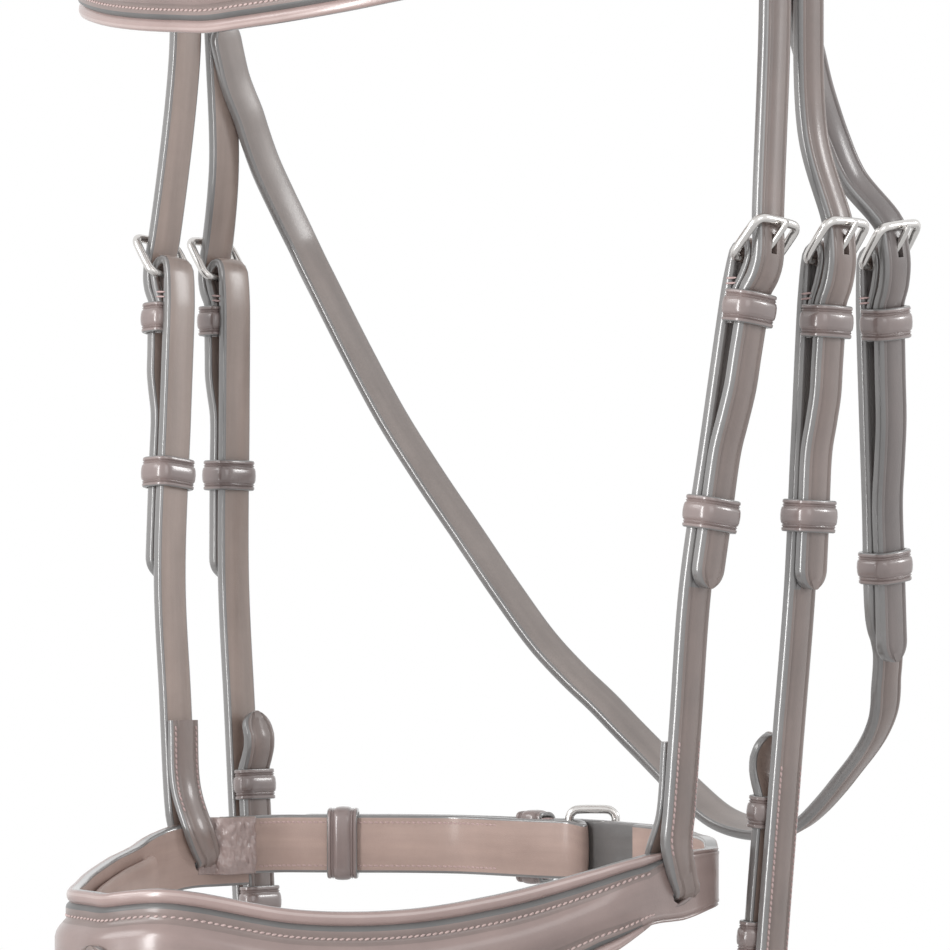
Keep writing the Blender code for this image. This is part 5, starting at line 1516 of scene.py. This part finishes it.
def add_jaw_patch(rings):
    """The puckered lining sewn over the jaw strap's raw end, inside the noseband's off end."""
    end = rings[-1]
    low = end.half_thickness + REST_GAP - PATCH_PROUD
    found = [end.centre + end.along * 0.0085 + end.face * low, end.centre + end.along * 0.0030 + end.face * low]
    found.append(end.centre + end.along * 0.0006 - end.face * (end.half_thickness * 0.4))
    for back in (0.0012, 0.0060, 0.0115, 0.0125):
        ring = ring_at(rings, end.travel - back)
        sunk = PATCH_PROUD * (1.0 if back < 0.012 else -0.8)
        found.append(ring.centre - ring.face * (ring.half_thickness + sunk))
    stations = [Station(centre, end.half_width - 0.0004, 0.0007) for centre in found]

    def puckered(ring, w, n):
        fade = min(1.0, abs(abs(w) - ring.half_width) / 0.002)
        place = Vector((ring.travel, w * 0.45 + ring.travel * 0.35, 0.0))
        fine = 0.5 * noise.noise(place * 2.3 / PATCH_WRINKLE_LENGTH)
        crinkle = noise.noise(place / PATCH_WRINKLE_LENGTH) + fine
        return w, n + (2 * PATCH_WRINKLE * crinkle * fade if n > 0 else 0.0)

    rings = laid(stations, Vector((0, 0, 1)), step=PATCH_STEP)
    piece = piece_from("jaw_strap_patch", rings, patch_section, [CRINKLED, FLESH, FLESH], shift=puckered)
    carried(piece, "bridle")


def patch_section(ring):
    """A thin sheet with enough points across it to pucker."""
    wide, thick = ring.half_width, ring.half_thickness
    top = [(wide * (1 - k / 20), thick, FACE) for k in range(41)]
    edge = wide + 0.0003
    return [(edge, 0.0, CUT), *top, (-edge, 0.0, CUT), (-wide, -thick, BACK), (wide, -thick, BACK)]


def add_jaw_billet(stack):
    """Lapped outside the noseband's near end, through the jaw buckle and on outside the jaw strap."""
    outer = offset_aside(smooth(jaw_points(1)[-3:]), STRAP_THICKNESS + REST_GAP)
    found = plain_stations(outer[1:], stack.width) + stack.billet()[:6]
    found += plain_stations(jaw_line(stack, STRAP_THICKNESS + REST_GAP)[2:], stack.width)
    strap("jaw_billet", round_the_end(found), Vector((0, 0, 1)), "bridle", JAW_BILLET_FINISHES,
          cuts=[tongue_hole(stack)])
    after, place = jaw_points(-1)[:2]
    frame_at = stack_frame(place, after, Vector((0, 1, 0)))
    half = STRAP_THICKNESS / 2
    keeper("runner_jaw", frame_at, 0.0, -half, half + REST_GAP + STRAP_THICKNESS, stack.width / 2, "runner_jaw")


def add_flash_loop():
    """A strip stitched to the noseband's face and looped round the flash strap."""
    half, radius, middle_y = FLASH_LOOP_THICKNESS / 2, flash_bend(), -flash_reach()
    low = -FLASH_DROP - STRAP_WIDTH / 2
    band_foot = nose_top(1.0) - NOSE_FRONT_HEIGHT
    found = [Vector((0, middle_y + radius, band_foot + FLASH_TUCK)), Vector((0, middle_y + radius, low))]
    for step in range(1, 9):
        turn = math.pi * step / 8
        found.append(Vector((0, middle_y + radius * math.cos(turn), low - radius * math.sin(turn))))
    found.append(Vector((0, middle_y - radius, mixed(low, -FLASH_LOOP_TOP, 0.6))))
    found.append(Vector((0, middle_y - radius, -FLASH_LOOP_TOP)))
    stations = round_the_end([Station(centre, FLASH_LOOP_WIDTH / 2, half) for centre in found])
    _, rings = strap("flash_loop", stations, Vector((-1, 0, 0)), "bridle")
    start, end = (rings[-1].travel - back for back in LOOP_SEAM)
    stitches("flash_loop_stitches", rings, both_edges(LOOP_STITCH_INSET), start, end, "bridle")


def add_flash_strap(stack):
    """Round the muzzle from its buckle and back, held in its loop and bent on both sides of it."""
    front = [flash_place(x, y) for x, y in reversed(FLASH_FRONT_SHARES[:-1])]
    front += [flash_place(-x, y) for x, y in FLASH_FRONT_SHARES[1:]]
    side = [flash_place(-1.0, FLASH_BAR_Y / flash_reach())]
    back = [flash_place(-x, y) for x, y in FLASH_BACK_SHARES]
    back += [flash_place(x, y) for x, y in reversed(FLASH_BACK_SHARES[:-1])]
    billet = stack.billet()
    found = stack.folded_strap()
    line = smooth([found[-1].centre, *front, *side, *back, billet[0].centre])[1:-1]
    found += plain_stations(line)
    found += billet
    piece, _ = strap("flash_strap", found, Vector((0, 0, -1)), cuts=[tongue_slot(stack), tongue_hole(stack)],
                     laps_itself=True)
    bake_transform(piece)
    cross_stitches("flash_cross_stitches", stack, "flash_strap")


def add_throatlatch(stack):
    points = throat_points(THROAT_PLAN_SHARES)
    folded = stack.folded_strap()
    line = smooth([folded[-1].centre, *reversed(points), swing_tip(-1, points[0])])[1:]
    lean = Vector((0, THROAT_SWING_Y - THROAT_REACH, THROAT_DROP - THROAT_SWING_DROP))
    across = lean.normalized().cross(Vector((1, 0, 0)))
    stations = round_the_end(folded + plain_stations(line))
    piece, _ = strap("throatlatch", stations, across, finishes=THROAT_FINISHES,
                     cuts=[tongue_slot(stack), tongue_hole(stack)])
    under_the_billet(piece, stack)
    bend_below_the_leg(piece)
    cross_stitches("throat_cross_stitches", stack, "throatlatch")


def add_throat_billet(stack):
    points = throat_points(THROAT_BILLET_SHARES)
    top = plain_stations([swing_tip(1, points[0]), *points])
    rounded = round_the_end(top[::-1])[::-1]
    stations = rounded + stack.billet()
    piece, rings = strap("throat_billet", stations, across_of(stack.frame), finishes=DARK_FINISHES,
                         cuts=[tongue_hole(stack)])
    bend_below_the_leg(piece)
    punched("throat_billet_holes", rings, stack, THROAT_HOLES, "throatlatch")


def bend_below_the_leg(piece):
    """The strap's top is sewn to the leg; here the strap's placement is only baked into its mesh, on no body.
    """
    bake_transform(piece)


def dress():
    hangers = {1: hanger_stack(1, NEAR_RUNNER_DROP), -1: hanger_stack(-1, OFF_RUNNER_DROP)}
    cheeks = {1: cheek_stack(1, NEAR_RUNNER_DROP), -1: cheek_stack(-1, OFF_RUNNER_DROP)}
    throat, jaw, flash = throat_stack(), jaw_stack(), flash_stack()
    add_headpiece(cheeks[1], cheeks[-1])
    add_sliphead(hangers[1], hangers[-1])
    add_crown_pad()
    add_browband()
    add_noseband()
    for name, side in (("near", 1), ("off", -1)):
        add_hanger(name, side, hangers[side])
        add_cheekpiece(name, side, cheeks[side])
        for kind, stacks in (("hanger_", hangers), ("cheek_", cheeks)):
            buckle(kind + name, stacks[side], "bridle")
            runner(kind + name, stacks[side])
    add_jaw_strap(jaw)
    add_jaw_billet(jaw)
    buckle("jaw", jaw, "bridle")
    add_throatlatch(throat)
    add_throat_billet(throat)
    buckle("throat", throat, "throatlatch")
    runner("throat", throat)
    add_flash_loop()
    add_flash_strap(flash)
    buckle("flash", flash, "flash_strap")
    runner("flash", flash)


# Camera, floor and light


def add_camera():
    target = Vector((0, 0, VIEW_HEIGHT))
    back = Vector((math.sin(VIEW_TURN), -math.cos(VIEW_TURN), 0))
    data = bpy.data.cameras.new("camera")
    data.sensor_width, data.lens, data.shift_y = VIEW_SENSOR, VIEW_LENS, VIEW_SHIFT
    data.clip_end = 30.0
    camera = bpy.data.objects.new("camera", data)
    camera.location = target + back * VIEW_DISTANCE
    camera.rotation_euler = (-back).to_track_quat("-Z", "Y").to_euler()
    bpy.context.scene.collection.objects.link(camera)
    bpy.context.scene.camera = camera


def add_lamp(name, place, size, power):
    """A lamp that faces the middle of the bridle."""
    data = bpy.data.lights.new(name, "AREA")
    data.shape, data.size, data.size_y, data.energy = "RECTANGLE", size[0], size[1], power
    lamp = bpy.data.objects.new(name, data)
    lamp.location = place
    aim = Vector((0, 0, VIEW_HEIGHT)) - lamp.location
    lamp.rotation_euler = aim.to_track_quat("-Z", "Y").to_euler()
    bpy.context.scene.collection.objects.link(lamp)


def add_floor():
    """A plain pale round floor under the bridle."""
    bpy.ops.object.select_all(action="DESELECT")
    middle = (0, 0, FLOOR_HEIGHT)
    bpy.ops.mesh.primitive_circle_add(vertices=96, radius=FLOOR_RADIUS, fill_type="NGON", location=middle)
    floor = bpy.context.object
    floor.name = "floor"
    bpy.ops.object.transform_apply(location=True, rotation=True, scale=True)
    material, _, shader = shader_of("pale_floor")
    given(shader, Base_Color=(0.86, 0.86, 0.86, 1), Roughness=0.9)
    floor.data.materials.append(material)


def add_world():
    """Soft light all round, and white where the camera and the steel look past the object."""
    world = bpy.data.worlds.new("studio")
    world.use_nodes = True
    tree = world.node_tree
    tree.nodes.clear()
    seen = node(tree, "ShaderNodeLightPath")
    soft = node(tree, "ShaderNodeBackground", Color=(1, 1, 1, 1), Strength=0.5)
    white = node(tree, "ShaderNodeBackground", Color=(1, 1, 1, 1), Strength=1.0)
    mix = node(tree, "ShaderNodeMixShader")
    out = node(tree, "ShaderNodeOutputWorld")
    past = seen.outputs["Is Camera Ray"]
    for ray in ("Is Glossy Ray", "Is Transmission Ray"):
        either = node(tree, "ShaderNodeMath", operation="MAXIMUM")
        joined(tree, past, either.inputs[0])
        joined(tree, seen.outputs[ray], either.inputs[1])
        past = either.outputs[0]
    joined(tree, past, mix.inputs["Fac"])
    joined(tree, soft.outputs[0], mix.inputs[1])
    joined(tree, white.outputs[0], mix.inputs[2])
    joined(tree, mix.outputs[0], out.inputs["Surface"])
    bpy.context.scene.world = world


dress()
add_camera()
add_floor()
add_world()
for lamp in LAMPS:
    add_lamp(*lamp)
bpy.context.scene.view_settings.view_transform = "Standard"
